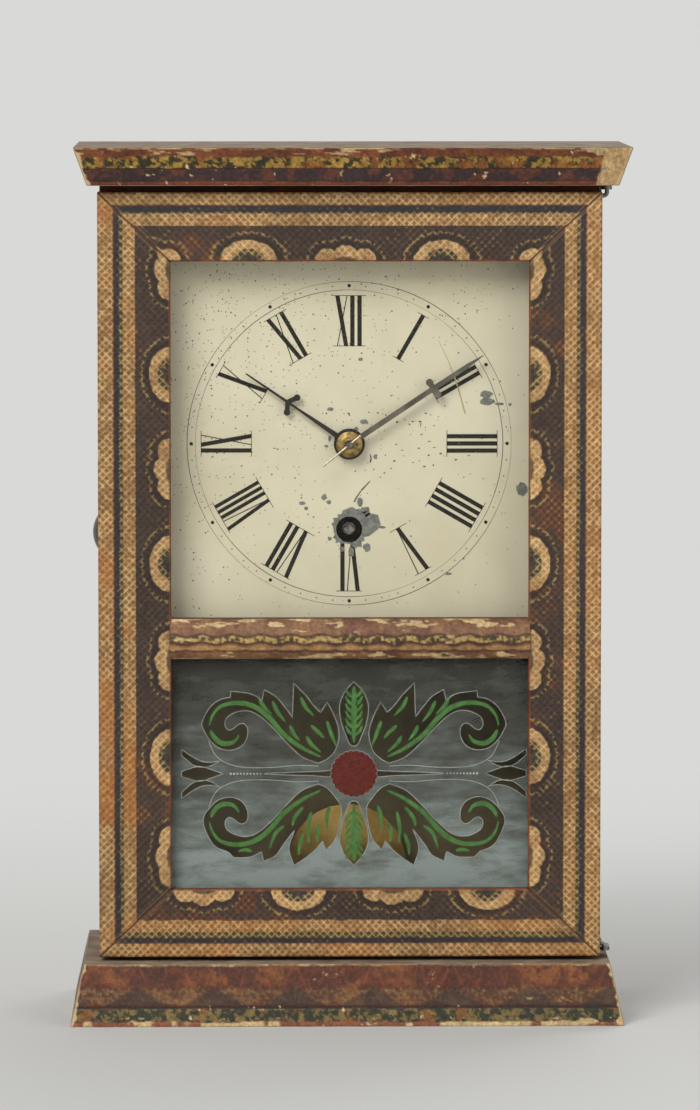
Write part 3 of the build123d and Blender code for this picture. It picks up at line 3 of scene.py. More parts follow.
import bpy
import numpy as np
from mathutils import Matrix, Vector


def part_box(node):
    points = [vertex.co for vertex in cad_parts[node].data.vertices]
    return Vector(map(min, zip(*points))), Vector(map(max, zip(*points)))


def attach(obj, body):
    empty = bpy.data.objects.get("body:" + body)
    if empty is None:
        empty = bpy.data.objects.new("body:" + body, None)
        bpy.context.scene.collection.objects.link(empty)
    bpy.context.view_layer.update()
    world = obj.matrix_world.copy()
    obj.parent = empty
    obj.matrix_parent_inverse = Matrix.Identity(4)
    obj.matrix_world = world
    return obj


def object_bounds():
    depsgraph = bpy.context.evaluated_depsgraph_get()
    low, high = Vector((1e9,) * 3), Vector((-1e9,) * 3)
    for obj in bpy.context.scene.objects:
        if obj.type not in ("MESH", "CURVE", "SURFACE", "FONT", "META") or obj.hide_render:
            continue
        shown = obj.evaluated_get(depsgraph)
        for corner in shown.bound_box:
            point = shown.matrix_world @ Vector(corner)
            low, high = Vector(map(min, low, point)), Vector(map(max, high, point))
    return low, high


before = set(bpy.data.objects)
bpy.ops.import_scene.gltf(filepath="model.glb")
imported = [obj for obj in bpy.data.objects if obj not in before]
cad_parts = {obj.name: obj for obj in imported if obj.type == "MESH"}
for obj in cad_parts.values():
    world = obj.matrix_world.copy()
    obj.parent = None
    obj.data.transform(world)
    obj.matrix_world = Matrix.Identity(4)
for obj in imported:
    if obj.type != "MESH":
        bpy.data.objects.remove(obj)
start_low, start_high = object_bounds()

# Cottage clock, seen a little from above. Lengths are in millimetres until a mesh is made.
MM = 0.001
TAU = 2 * math.pi


def edges(node):
    """The lowest and highest corner of a CAD node in millimetres."""
    low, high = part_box(node)
    return np.array(low) / MM, np.array(high) / MM


def level(node, top):
    """The corners of a CAD node's highest or lowest flat, in millimetres."""
    points = np.array([v.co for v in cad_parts[node].data.vertices]) / MM
    z = points[:, 2].max() if top else points[:, 2].min()
    flat = points[abs(points[:, 2] - z) < 0.01]
    return flat.min(0), flat.max(0)


# Places taken from the frame
left_stile, right_stile = edges("door_left_stile"), edges("door_right_stile")
bottom_rail, top_rail = edges("door_bottom_rail"), edges("door_top_rail")
divider_low, divider_high = edges("door_divider")
opening_left, opening_right = left_stile[1][0], right_stile[0][0]
opening_foot, opening_head = bottom_rail[1][2], top_rail[0][2]
stile_width = opening_left - left_stile[0][0]
rail_width = opening_foot - bottom_rail[0][2]
door_front, door_back = left_stile[0][1], left_stile[1][1]
dial_front = edges("dial")[0][1]
washer_low, washer_high = edges("hand_washer")
hub_x, hub_z = 0.0, (washer_low[2] + washer_high[2]) / 2
winding_low, winding_high = edges("winding_arbor")
winding_z = (winding_low[2] + winding_high[2]) / 2
tablet_back = edges("tablet_glass")[1][1]
clock_low, clock_high = np.array(start_low) / MM, np.array(start_high) / MM


# Colour and noise for the printed papers

def tint(hex_code):
    """An sRGB hex colour as linear red, green and blue."""
    part = np.array([int(hex_code[i : i + 2], 16) for i in (1, 3, 5)]) / 255
    return np.where(part <= 0.04045, part / 12.92, ((part + 0.055) / 1.055) ** 2.4)


def step(value, low, high):
    """0 below low, 1 above high, smooth between them."""
    t = np.clip((value - low) / (high - low), 0, 1)
    return t * t * (3 - 2 * t)


def mottle(seed, a, b, size):
    """Smooth seeded noise from 0 to 1 at the points a, b, with patches about size mm across."""
    cells = np.random.default_rng(seed).random((61, 61))
    p, q = a / size + 500.0, b / size + 500.0
    i, j = np.floor(p).astype(int), np.floor(q).astype(int)
    s, t = step(p - i, 0, 1), step(q - j, 0, 1)
    near = cells[i % 61, j % 61] * (1 - s) + cells[(i + 1) % 61, j % 61] * s
    far = cells[i % 61, (j + 1) % 61] * (1 - s) + cells[(i + 1) % 61, (j + 1) % 61] * s
    return near * (1 - t) + far * t


def cloudy(seed, a, b, size):
    """Three sizes of mottle laid over each other, spread to fill 0 to 1."""
    mixed = 0.5 * mottle(seed, a, b, size) + 0.3 * mottle(seed + 1, a, b, size / 2.3)
    return step(mixed + 0.2 * mottle(seed + 2, a, b, size / 5.1), 0.15, 0.85)


def grit(seed, a, depth):
    """A factor about 1 that differs from point to point, for a worn and dusty print."""
    return 1 + depth * (np.random.default_rng(seed + 77).random(a.shape) - 0.5)


def over(ground, ink, amount):
    """Ink laid over a ground by an amount from 0 to 1 at each point."""
    return ground + (ink - ground) * np.clip(amount, 0, 1)[..., None]


# Papers: block-printed over an embossed diamond lattice, then rubbed and chipped
lattice_pitch = 2.6
lattice_line = 0.3
emboss_height = 0.2
paper_lift = 0.1
arris_radius = 0.7
rebate_steps = (3.6, 2.8, 2.0, 1.2)
print_spacing = 0.37
side_spacing = 0.62

OCHRE_RIDGE = tint("#DDBB82")
OCHRE_HOLLOW = tint("#85552C")
RED_HOLLOW = tint("#743519")
FIELD = tint("#3D2E26")
FIELD_RIDGE = tint("#57463A")
FIELD_RUST = tint("#6B4128")
BLUE_BLACK = tint("#2B2A2F")
GOLD_DOT = tint("#A68A55")
OLIVE = tint("#4B3F2A")
SHELL_CREAM = tint("#DCBB86")
SHELL_HOLLOW = tint("#93602F")
EDGE_RUST = tint("#7A4226")
ORANGE_WASH = tint("#9A5B26")
WORN_CREAM = tint("#CFB384")
BARE_TAN = tint("#B8976A")


def lattice(a, u):
    """The pressed lattice: how near each point is to a raised line, and to a crossing of two."""
    lines = []
    for across in (a + u, a - u):
        phase = (across / lattice_pitch) % 1
        gap = np.minimum(phase, 1 - phase) * lattice_pitch / math.sqrt(2)
        lines.append(1 - step(gap, lattice_line * 0.3, lattice_line * 1.45))
    return np.maximum(*lines), lines[0] * lines[1]


# Scallops along the door's opening: half-round shells and three-lobed clouds, turn and turn about
shell_lobes = [(0.0, 9.7, 7.3)]
cloud_lobes = [(-6.2, 4.4, 4.3), (0.0, 5.2, 5.6), (6.2, 4.4, 4.3)]
cloud_seat = [(0.0, 4.2, 1.5)]
thread_gap = 2.6
thread_half = 0.42
band_edge_soft = 0.16


def outside(a, u, centres, lobes):
    """How far outside the nearest scallop each point is, in mm, and less than 0 inside one."""
    gap = np.full(a.shape, 99.0)
    for centre in centres:
        for shift, half, deep in lobes:
            reach = np.hypot((a - centre - shift) / half, np.maximum(u, 0) / deep)
            gap = np.minimum(gap, (reach - 1) * deep)
    return gap


def door_print(a, u, seed, shells, clouds, bands, orange):
    """Colours and raised height of the door's paper: a runs along the member, u out from the opening."""
    ridge, knot = lattice(a, u)
    fine, patch = mottle(seed, a, u, 0.9), cloudy(seed + 5, a, u, 6)
    broad = cloudy(seed + 9, a, u, 26)
    wavy = u + 0.3 * (mottle(seed + 12, a, u, 2.2) - 0.5)
    ochre = over(OCHRE_HOLLOW, RED_HOLLOW, patch * (0.35 + 0.6 * broad))
    rubbed = 0.55 + 0.45 * step(patch + 0.5 * fine, 0.3, 0.9)
    ochre = over(ochre, OCHRE_RIDGE, (0.2 + 0.8 * ridge) * rubbed * (0.66 + 0.34 * fine))
    ochre = over(ochre, ORANGE_WASH, orange * step(broad + 0.3 * patch, 0.55, 1.0))
    dotted = over(OLIVE, GOLD_DOT * 1.1, 0.9 * step(ridge + 0.5 * fine, 0.75, 1.2))
    field = over(FIELD, FIELD_RIDGE, ridge * (0.35 + 0.5 * fine))
    field = over(field, FIELD_RUST, 0.75 * step(patch * broad, 0.32, 0.6) * (0.3 + ridge))
    field = over(field, GOLD_DOT, 0.75 * knot * step(patch + 0.3 * fine, 0.8, 1.1))
    blue = over(BLUE_BLACK, FIELD_RIDGE, 0.5 * ridge * fine)
    blue = over(blue, GOLD_DOT, 0.6 * knot * step(patch, 0.72, 0.9))

    colour, height = field, 0.45 * ridge
    inner, dots, dark, outer = bands
    for start, stop, ink, lift in ((inner, dots, ochre, 1), (dots, dark, dotted, 0.9),
                                   (dark, outer, blue, 0.35), (outer, 99, ochre, 1)):
        inside = step(wavy, start - band_edge_soft, start + band_edge_soft)
        inside = inside * (1 - step(wavy, stop - band_edge_soft, stop + band_edge_soft))
        colour, height = over(colour, ink, inside), height * (1 - inside) + lift * ridge * inside
    rim = step(u, outer - 0.5, outer - 0.15) * (1 - step(u, outer + 0.05, outer + 0.4))
    colour = over(colour, RED_HOLLOW * 0.6, 0.6 * rim)

    shell_gap, cloud_gap = outside(a, u, shells, shell_lobes), outside(a, u, clouds, cloud_lobes)
    gap = np.minimum(shell_gap, cloud_gap) + 0.5 * (mottle(seed + 15, a, u, 1.3) - 0.5)
    cream = over(SHELL_HOLLOW, SHELL_CREAM, (0.35 + 0.65 * ridge) * (0.7 + 0.3 * fine))
    cream = over(cream, EDGE_RUST, 0.35 * step(patch, 0.6, 0.9))
    heart = shell_gap / shell_lobes[0][2] + 1
    deep = over(BLUE_BLACK, OLIVE * 1.3, 0.7 * fine)
    cream = over(cream, over(deep, GOLD_DOT * 1.1, step(ridge + 0.6 * fine, 0.9, 1.3)),
                 1 - step(heart, 0.56, 0.64))
    cream = over(cream, deep, 1 - step(heart, 0.3, 0.38))
    seat = outside(a, u, clouds, cloud_seat)
    cream = over(cream, deep, 0.85 * (1 - step(seat, -0.2, 0.3)))
    shade = (1 - step(gap, 1.3, 2.0)) * step(gap, -0.1, 0.2)
    near = (u < inner - 1.2) * 1.0
    colour = over(colour, FIELD * 0.5, 0.55 * shade * near)
    thread = (1 - step(abs(gap - thread_gap), thread_half * 0.5, thread_half * 1.3)) * near
    broken = step(ridge + 0.7 * fine + 0.5 * patch, 0.85, 1.5)
    colour = over(colour, GOLD_DOT, 0.85 * thread * broken)
    inside = 1 - step(gap, -0.15, 0.15)
    colour = over(colour, cream, inside * near)
    height = np.maximum(height, 0.5 * thread * broken) * (1 - inside) + inside * (0.4 + 0.6 * ridge)

    grime = (0.66 + 0.34 * broad + 0.3 * (fine - 0.5)) * grit(seed, a, 0.3)
    colour = colour * grime[..., None]
    lip = 1 - step(abs(u - 0.15), 0.25, 0.6)
    colour = over(colour, EDGE_RUST * (0.6 + 0.7 * patch)[..., None], 0.85 * lip)
    return colour, height


# The base and cornice papers: places in mm down from the moulding's top edge
lobe_pitch, lobe_phase, lobe_half = 27.3, 7.9, 11
base_haze_top, base_haze_foot = 8.2, 14.6
base_line, base_foot = 15.2, 20.0
gilt_top, gilt_foot, cornice_foot = 3.1, 7.4, 12.2
bare_end = 8.6


def worn_print(colour, seed, a, broad, fine, base_light=0.72, fine_share=0.5, depth=0.45):
    """A print dulled by broad clouds, fine spots and dust."""
    light = base_light + 0.3 * broad + fine_share * (fine - 0.5)
    return colour * (light * grit(seed, a, depth))[..., None]


def base_print(a, v, seed, _):
    """The base moulding's paper: a runs along it and v down from its top edge."""
    fine, patch, broad = mottle(seed, a, v, 0.8), cloudy(seed + 3, a, v, 5), cloudy(seed + 7, a, v, 17)
    streak = cloudy(seed + 11, a * 0.35, v, 2.6)
    rust, brown = tint("#6C3B28"), tint("#432A20")
    colour = over(brown, rust, 0.25 + 0.75 * patch)
    colour = over(colour, tint("#8A5A30"), 0.6 * step(broad * patch, 0.3, 0.7))
    place = (a - lobe_phase + lobe_pitch / 2) % lobe_pitch - lobe_pitch / 2
    haze = step(v + 1.2 * (fine - 0.5), base_haze_top, base_haze_top + 1.4)
    haze = haze * (1 - step(v, base_haze_foot - 1.6, base_haze_foot))
    colour = over(colour, tint("#7A6240"), haze * (0.15 + 0.55 * step(fine + 0.4 * patch, 0.5, 1.1)))
    lobe = step(v - 8.0 - 0.62 * abs(place) + 1.1 * (patch - 0.5), -0.6, 0.6)
    lobe = lobe * (1 - step(v, base_line - 0.8, base_line - 0.2)) * (abs(place) < lobe_half)
    colour = over(colour, tint("#2C2A28"), 0.72 * lobe * (0.6 + 0.4 * fine))
    chevron = abs(abs(place) - 0.9 - 0.46 * (v - 1.5))
    stroke = 1 - step(chevron + 0.5 * (fine - 0.5), 0.3, 0.75)
    halfway = 1 - step(abs(abs(place) - 9.4 - 0.8 * np.sin(v * 0.55)) + 0.4 * (fine - 0.5), 0.3, 0.7)
    marks = np.maximum(stroke, halfway) * step(v, 1.2, 2.0) * (1 - step(v, 7.0, 8.2))
    colour = over(colour, tint("#93503C"), 0.55 * marks * (0.3 + 0.7 * patch))
    line = 1 - step(abs(v - base_line + 0.3 * (patch - 0.5)), 0.25, 0.7)
    colour = over(colour, tint("#231B17"), 0.9 * line)
    low_band = step(v, base_line + 0.4, base_line + 0.7) * (1 - step(v, base_foot + 0.1, base_foot + 0.5))
    leaves, rust_spots = cloudy(seed + 20, a, v, 1.7), cloudy(seed + 24, a, v, 6.5)
    foliage = over(tint("#2F3122"), tint("#857042"), 0.85 * step(leaves, 0.4, 0.8))
    foliage = over(foliage, tint("#8F5A2E"), 0.7 * step(rust_spots, 0.74, 0.9))
    colour = over(colour, foliage, low_band)
    foot = step(v + 0.8 * (patch - 0.5), base_foot, base_foot + 0.5)
    colour = over(colour, tint("#8E5540"), foot)
    colour = over(colour, WORN_CREAM, foot * step(cloudy(seed + 30, a, v * 0.3, 15), 0.42, 0.52))
    upper = 1 - step(v + 0.5 * (patch - 0.5), 0.5, 1.1)
    colour = over(colour, WORN_CREAM * 0.75, upper * (0.35 + 0.6 * step(streak, 0.45, 0.7)))
    chips = step(cloudy(seed + 34, a, v, 3.1) + 0.02 * step(v, 13, 18), 0.99, 1.01)
    colour = over(colour, WORN_CREAM, chips)
    colour = over(colour, WORN_CREAM * 0.9, step(streak * step(v, 12, 20), 0.86, 0.93))
    colour = worn_print(colour, seed, a, broad, fine)
    height = 0.3 * fine + 0.3 * patch - 0.4 * chips - 0.6 * line
    return colour, height


def cornice_print(a, v, seed, length):
    """The cornice moulding's paper: a runs along it and v down from its top edge."""
    fine, patch, broad = mottle(seed, a, v, 0.8), cloudy(seed + 3, a, v, 4), cloudy(seed + 7, a, v, 19)
    streak = cloudy(seed + 11, a * 0.18, v, 1.1)
    colour = over(tint("#5E3022"), tint("#7E4A2B"), patch)
    rubbed = step(streak * (0.45 + 0.55 * broad), 0.5, 0.66) * (1 - step(v, gilt_top - 0.5, gilt_top + 0.5))
    colour = over(colour, WORN_CREAM * 0.85, 0.8 * rubbed)
    wavy = v + 0.5 * (mottle(seed + 17, a, v, 3.0) - 0.5)
    gilded = step(wavy, gilt_top, gilt_top + 0.4) * (1 - step(wavy, gilt_foot, gilt_foot + 0.4))
    leaves, rust_spots = cloudy(seed + 20, a, v, 1.5), cloudy(seed + 24, a, v, 7)
    leafy = over(tint("#33301F"), tint("#A9853F"), 0.9 * step(leaves, 0.34, 0.66))
    leafy = over(leafy, tint("#8A4E28"), 0.7 * step(rust_spots, 0.62, 0.8))
    colour = over(colour, leafy, gilded)
    line = 1 - step(abs(wavy - gilt_foot - 0.3), 0.15, 0.45)
    colour = over(colour, tint("#1F1713"), 0.85 * line)
    lower = step(wavy, gilt_foot + 0.5, gilt_foot + 0.8)
    dusk = over(tint("#3A2A2B"), tint("#64392A"), 0.8 * step(patch, 0.45, 0.85))
    colour = over(colour, dusk, lower)
    colour = over(colour, tint("#7A4028"), 0.8 * step(wavy, cornice_foot - 0.3, cornice_foot + 0.3))
    colour = over(colour, tint("#231814"), 0.7 * (1 - step(abs(wavy - cornice_foot), 0.1, 0.35)))
    chips = step(cloudy(seed + 30, a, v, 3.3), 0.985, 1.0)
    colour = over(colour, WORN_CREAM, chips)
    upper = 1 - step(v + 0.6 * (fine - 0.5), 0.3, 0.8)
    colour = over(colour, WORN_CREAM * 0.8, upper * step(streak, 0.3, 0.6))
    bare = step(a - (length / 2 - bare_end) + 0.19 * v + 1.0 * (patch - 0.5), -0.3, 0.3)
    colour = over(colour, over(BARE_TAN, WORN_CREAM, 0.4 * fine), bare * 0.9)
    colour = worn_print(colour, seed, a, broad, fine)
    height = 0.3 * fine + 0.3 * patch - 0.4 * chips - 0.5 * line - 0.4 * bare
    return colour, height


# The divider's paper: a waving gilt line with small arches above it
wave_period = 10.3
wave_reach = 0.45
arch_drop, arch_rise = 3.2, 1.5


def divider_print(a, v, seed, length):
    """The divider's paper: a runs across the clock and v up over the half round."""
    fine, patch, broad = mottle(seed, a, v, 0.8), cloudy(seed + 3, a, v, 5), cloudy(seed + 7, a, v, 20)
    colour = over(tint("#6E4838"), tint("#96704E"), patch)
    middle = length / 2 + wave_reach * np.cos(TAU * a / wave_period)
    gap = abs(v - middle)
    colour = over(colour, tint("#3A2A20"), 0.8 * (1 - step(gap, 1.5, 2.0)))
    gilt = over(OLIVE, GOLD_DOT * 1.15, step(fine + 0.5 * patch, 0.45, 1.0))
    colour = over(colour, gilt, 1 - step(gap, 0.7, 1.1))
    arc = middle - arch_drop - arch_rise * abs(np.cos(math.pi * a / wave_period))
    colour = over(colour, tint("#B98F5C"), 0.7 * step(middle - v, 2.2, 2.6) * (v > arc))
    colour = over(colour, tint("#4A2E24"), 0.75 * (1 - step(abs(v - arc), 0.3, 0.7)))
    worn = cloudy(seed + 11, a * 0.3, v, 2.6)
    colour = over(colour, WORN_CREAM, step(worn + 0.34 * step(gap, 3.5, 6.5), 0.92, 1.02))
    rim = 1 - step(np.minimum(v, length - v) + 0.8 * (patch - 0.5), 0.3, 0.9)
    colour = over(colour, WORN_CREAM * 0.85, rim * step(worn, 0.3, 0.6))
    colour = worn_print(colour, seed, a, broad, fine, 0.74, 0.45, 0.4)
    return colour, 0.3 * fine + 0.5 * (1 - step(gap, 0.8, 1.4))


# Materials. One function adds a node with its settings and links.

def add(tree, kind, inputs=(), **settings):
    made = tree.nodes.new("ShaderNode" + kind)
    for name, value in settings.items():
        setattr(made, name, value)
    for name, value in dict(inputs).items():
        if isinstance(value, bpy.types.NodeSocket):
            tree.links.new(value, made.inputs[name])
        else:
            made.inputs[name].default_value = value
    return made


def start_finish(name, **surface):
    """A new material with its surface shader, whose constants are set here."""
    finish = bpy.data.materials.new(name)
    finish.use_nodes = True
    tree = finish.node_tree
    shader = tree.nodes["Principled BSDF"]
    for socket, value in surface.items():
        shader.inputs[socket.replace("_", " ")].default_value = value
    return finish, tree, shader


def texture_place(tree, stretch):
    """Points in metres, with each axis stretched so that a pattern is long or short along it."""
    place = add(tree, "TexCoord")
    return add(tree, "Mapping", {"Vector": place.outputs["Object"], "Scale": stretch}).outputs[0]


def set_ramp(ramp, stops):
    """Puts (place, hex colour) stops on a colour ramp."""
    while len(ramp.elements) < len(stops):
        ramp.elements.new(0.5)
    for element, (place, hex_code) in zip(ramp.elements, stops):
        element.position = place
        element.color = (*tint(hex_code), 1)


def mottled_finish(name, stops, patch, stretch=(1, 1, 1), roughness=(0.5, 0.7), relief=0.02,
                   detail=6.0, grit=0.35, **surface):
    """A finish whose colour runs through the stops in patches of a real size in mm,
    with a finer grit over it, a changing gloss and a relief in mm."""
    finish, tree, shader = start_finish(name, **surface)
    place = texture_place(tree, stretch)
    cloud = add(tree, "TexNoise", {"Vector": place, "Scale": 1 / (patch * MM), "Detail": detail,
                                   "Roughness": 0.62})
    ramp = add(tree, "ValToRGB", {"Fac": cloud.outputs["Fac"]})
    set_ramp(ramp.color_ramp, stops)
    grain = add(tree, "TexNoise", {"Vector": place, "Scale": 1 / (grit * MM), "Detail": 3.0})
    shade = add(tree, "MapRange", {"Value": grain.outputs["Fac"], "From Min": 0.3, "From Max": 0.7,
                                   "To Min": 0.86, "To Max": 1.1})
    hue = add(tree, "HueSaturation", {"Color": ramp.outputs["Color"], "Value": shade.outputs[0]})
    gloss = add(tree, "MapRange", {"Value": cloud.outputs["Fac"], "From Min": 0.3, "From Max": 0.7,
                                   "To Min": roughness[0], "To Max": roughness[1]})
    lift = add(tree, "Math", {0: cloud.outputs["Fac"], 1: grain.outputs["Fac"]}, operation="ADD")
    bump = add(tree, "Bump", {"Height": lift.outputs[0], "Strength": 1.0, "Distance": relief * MM})
    tree.links.new(hue.outputs[0], shader.inputs["Base Color"])
    tree.links.new(gloss.outputs[0], shader.inputs["Roughness"])
    tree.links.new(bump.outputs[0], shader.inputs["Normal"])
    return finish


# Pasted paper, block printed: the ink is in the mesh's colours, the fibres add a dry, finely pitted face
printed_paper, tree, shader = start_finish("printed_paper", IOR=1.45, Specular_IOR_Level=0.35)
ink = add(tree, "Attribute", attribute_name="ink")
place = texture_place(tree, (1, 1, 1))
fibres = add(tree, "TexNoise", {"Vector": place, "Scale": 1 / (0.28 * MM), "Detail": 3.0})
dirt = add(tree, "TexNoise", {"Vector": place, "Scale": 1 / (9 * MM), "Detail": 7.0, "Roughness": 0.65})
value = add(tree, "MapRange", {"Value": fibres.outputs["Fac"], "From Min": 0.3, "From Max": 0.7,
                               "To Min": 0.84, "To Max": 1.14})
inked = add(tree, "HueSaturation", {"Color": ink.outputs["Color"], "Value": value.outputs[0],
                                    "Saturation": 1.02})
rub = add(tree, "MapRange", {"Value": dirt.outputs["Fac"], "From Min": 0.3, "From Max": 0.7,
                             "To Min": 0.36, "To Max": 0.62})
bump = add(tree, "Bump", {"Height": fibres.outputs["Fac"], "Strength": 0.6, "Distance": 0.06 * MM})
tree.links.new(inked.outputs[0], shader.inputs["Base Color"])
tree.links.new(rub.outputs[0], shader.inputs["Roughness"])
tree.links.new(bump.outputs[0], shader.inputs["Normal"])

# Plain red-brown lining paper on the case: matt, blotched with age and handling
lining_paper = mottled_finish(
    "lining_paper", [(0.25, "#3B2118"), (0.45, "#5C3122"), (0.6, "#70402A"), (0.78, "#8B5E3C")],
    14, roughness=(0.5, 0.75), relief=0.06, IOR=1.45, Specular_IOR_Level=0.35)
# Dusty paper on the ledges that face up: grey-brown, nearly without gloss
dusty_paper = mottled_finish(
    "dusty_paper", [(0.25, "#5C4B3E"), (0.5, "#8A7967"), (0.75, "#AB9B86")],
    9, roughness=(0.75, 0.9), relief=0.08, IOR=1.45, Specular_IOR_Level=0.3)
# Bare sawn pine: long fibres up the board, pale between the rings
pine_upright = mottled_finish(
    "sawn_pine_upright", [(0.3, "#6E4D2E"), (0.5, "#916B43"), (0.7, "#A98457")],
    3.2, stretch=(1, 1, 0.05), roughness=(0.6, 0.8), relief=0.08, IOR=1.5)
pine_across = mottled_finish(
    "sawn_pine_across", [(0.3, "#5F432A"), (0.5, "#86633F"), (0.7, "#A07C52")],
    3.2, stretch=(0.05, 1, 1), roughness=(0.6, 0.8), relief=0.08, IOR=1.5)
# Stained pine where no paper covers the door and the mouldings
stained_pine = mottled_finish(
    "stained_pine", [(0.3, "#2E1B12"), (0.5, "#45291B"), (0.7, "#5A3825")],
    2.6, stretch=(0.3, 1, 0.08), roughness=(0.45, 0.65), relief=0.05, IOR=1.5)
# Turned hardwood, stained and handled: low sheen, nearly black in the hollows
turned_wood = mottled_finish(
    "turned_wood", [(0.3, "#1E130D"), (0.5, "#33211A"), (0.75, "#4B3325")],
    2.0, stretch=(0.2, 1, 1), roughness=(0.3, 0.5), relief=0.03, IOR=1.5, Coat_Weight=0.15)
# Old rag paper: foxed brown in patches, flat and dry
rag_paper = mottled_finish(
    "rag_paper", [(0.25, "#7E6C4C"), (0.5, "#A8966D"), (0.72, "#BDAC84")],
    22, roughness=(0.8, 0.92), relief=0.03, IOR=1.45, Specular_IOR_Level=0.25)
# Lacquered brass, gone brown and green-grey in the lacquer's gaps
old_brass = mottled_finish(
    "old_brass", [(0.3, "#3E3322"), (0.42, "#776238"), (0.55, "#9C8350"), (0.75, "#BBA673")],
    1.9, roughness=(0.38, 0.6), relief=0.02, Metallic=1.0)
# Rolled brass plate of the movement: tarnished, and painted nearly black as painted shade for the dark
# inside of the case, with a dull sheen along X
plate_brass_painted_shade = mottled_finish(
    "plate_brass_painted_shade", [(0.3, "#2B2216"), (0.5, "#43361F"), (0.7, "#5E4C2C")],
    7.0, stretch=(0.25, 1, 1), roughness=(0.45, 0.65), relief=0.015, Metallic=1.0)
# Drawn steel, dull grey with brown rust in spots
dull_steel = mottled_finish(
    "dull_steel", [(0.28, "#4A3D33"), (0.45, "#6E6A64"), (0.7, "#8F8D88")],
    1.8, roughness=(0.32, 0.55), relief=0.02, Metallic=1.0)
# Bright filed steel, where a pin was cut
bright_steel = mottled_finish(
    "bright_steel", [(0.3, "#8C7E66"), (0.6, "#C9BDA4")],
    1.2, roughness=(0.22, 0.38), relief=0.01, Metallic=1.0)
# Blackened steel hands: the black is thin, and grey-brown metal shows where it is rubbed
black_steel = mottled_finish(
    "black_steel", [(0.3, "#15130F"), (0.6, "#26221C"), (0.8, "#3B352B")],
    3.0, roughness=(0.45, 0.65), relief=0.01, IOR=1.5, Specular_IOR_Level=0.3)
rubbed_steel = mottled_finish(
    "rubbed_steel", [(0.3, "#3C382F"), (0.5, "#5A5549"), (0.72, "#77705F")],
    4.0, stretch=(0.5, 1, 0.5), roughness=(0.35, 0.55), relief=0.01, Metallic=0.35, IOR=1.5)
# Black oil paint of the numerals, matt and pinholed
numeral_paint = mottled_finish(
    "numeral_paint", [(0.27, "#8A8269"), (0.34, "#2A251E"), (0.7, "#1D1A15")],
    0.9, roughness=(0.6, 0.8), relief=0.01, detail=4.0, IOR=1.5, Specular_IOR_Level=0.15)
faint_paint = mottled_finish(
    "faint_paint", [(0.3, "#6E674F"), (0.5, "#4E4939"), (0.75, "#3A352A")],
    3.0, roughness=(0.5, 0.7), relief=0.01, IOR=1.5)
# Bare zinc where the enamel has flaked: blue-grey with a dull metal sheen
bare_zinc = mottled_finish(
    "bare_zinc", [(0.28, "#55564F"), (0.5, "#76776E"), (0.72, "#929287")],
    1.3, roughness=(0.5, 0.7), relief=0.03, Metallic=0.4, IOR=1.5)
dark_scratch = mottled_finish(
    "dark_scratch", [(0.3, "#3E3A31"), (0.6, "#5B564A"), (0.8, "#7C775F")],
    0.8, roughness=(0.5, 0.7), relief=0.02, IOR=1.5)
stain_brown = mottled_finish(
    "brown_stain", [(0.3, "#A8935F"), (0.7, "#BFAF7C")],
    0.8, roughness=(0.4, 0.6), relief=0.01, IOR=1.5)
# Leaf-green oil paint laid on the glass with a loaded brush
leaf_green = mottled_finish(
    "leaf_green", [(0.25, "#294A21"), (0.45, "#3C6A2D"), (0.65, "#4F803A"), (0.8, "#80A05E")],
    1.6, stretch=(1, 1, 0.6), roughness=(0.4, 0.55), relief=0.02, IOR=1.5, Specular_IOR_Level=0.25)
# Dark red glaze of the rosette, nearly black at its heart
rosette_red = mottled_finish(
    "rosette_red", [(0.3, "#2E0C06"), (0.46, "#54140A"), (0.62, "#6B1B0D"), (0.8, "#86341B")],
    1.3, roughness=(0.4, 0.55), relief=0.02, IOR=1.5, Specular_IOR_Level=0.2)
# Thin off-white line paint
line_white = mottled_finish(
    "line_white", [(0.3, "#7E8580"), (0.55, "#A9ADA3"), (0.75, "#C6C8BA")],
    2.2, roughness=(0.4, 0.6), relief=0.01, IOR=1.5)
# Gilt bob: yellow metal foil over lead, creased
gilt_foil = mottled_finish(
    "gilt_foil", [(0.28, "#A98442"), (0.5, "#D1AC5C"), (0.72, "#EBCB80")],
    9.0, roughness=(0.35, 0.55), relief=0.05, Metallic=1.0)

# Cream enamel on zinc: smooth with a satin face, yellowed in clouds, and pocked with fine dark specks
dial_enamel, tree, shader = start_finish("dial_enamel", IOR=1.5)
place = texture_place(tree, (1, 1, 1))
cloud = add(tree, "TexNoise", {"Vector": place, "Scale": 1 / (38 * MM), "Detail": 5.0, "Roughness": 0.55})
ramp = add(tree, "ValToRGB", {"Fac": cloud.outputs["Fac"]})
set_ramp(ramp.color_ramp, [(0.28, "#C9C0A0"), (0.5, "#D3CBAD"), (0.72, "#DAD3B7")])
speck_pitch, pepper_pitch = 2.1, 1.25
speck_colour = (*tint("#4A4639"), 1)
cell = add(tree, "TexVoronoi", {"Vector": place, "Scale": 1 / (speck_pitch * MM), "Randomness": 1.0})
shares = add(tree, "SeparateColor", {"Color": cell.outputs["Color"]})
spread = add(tree, "TexNoise", {"Vector": place, "Scale": 1 / (26 * MM), "Detail": 2.0})
corner = add(tree, "SeparateXYZ", {"Vector": place})
lean = add(tree, "Math", {0: corner.outputs["Z"], 1: corner.outputs["X"]}, operation="SUBTRACT")
crowd = add(tree, "MapRange", {"Value": lean.outputs[0], "From Min": (hub_z - 30) * MM,
                               "From Max": (hub_z + 105) * MM, "To Min": 0.1, "To Max": 1.25})
crowd_mix = add(tree, "Math", {0: spread.outputs["Fac"], 1: crowd.outputs[0]}, operation="MULTIPLY")
chosen = add(tree, "Math", {0: shares.outputs["Red"], 1: crowd_mix.outputs[0]}, operation="LESS_THAN")
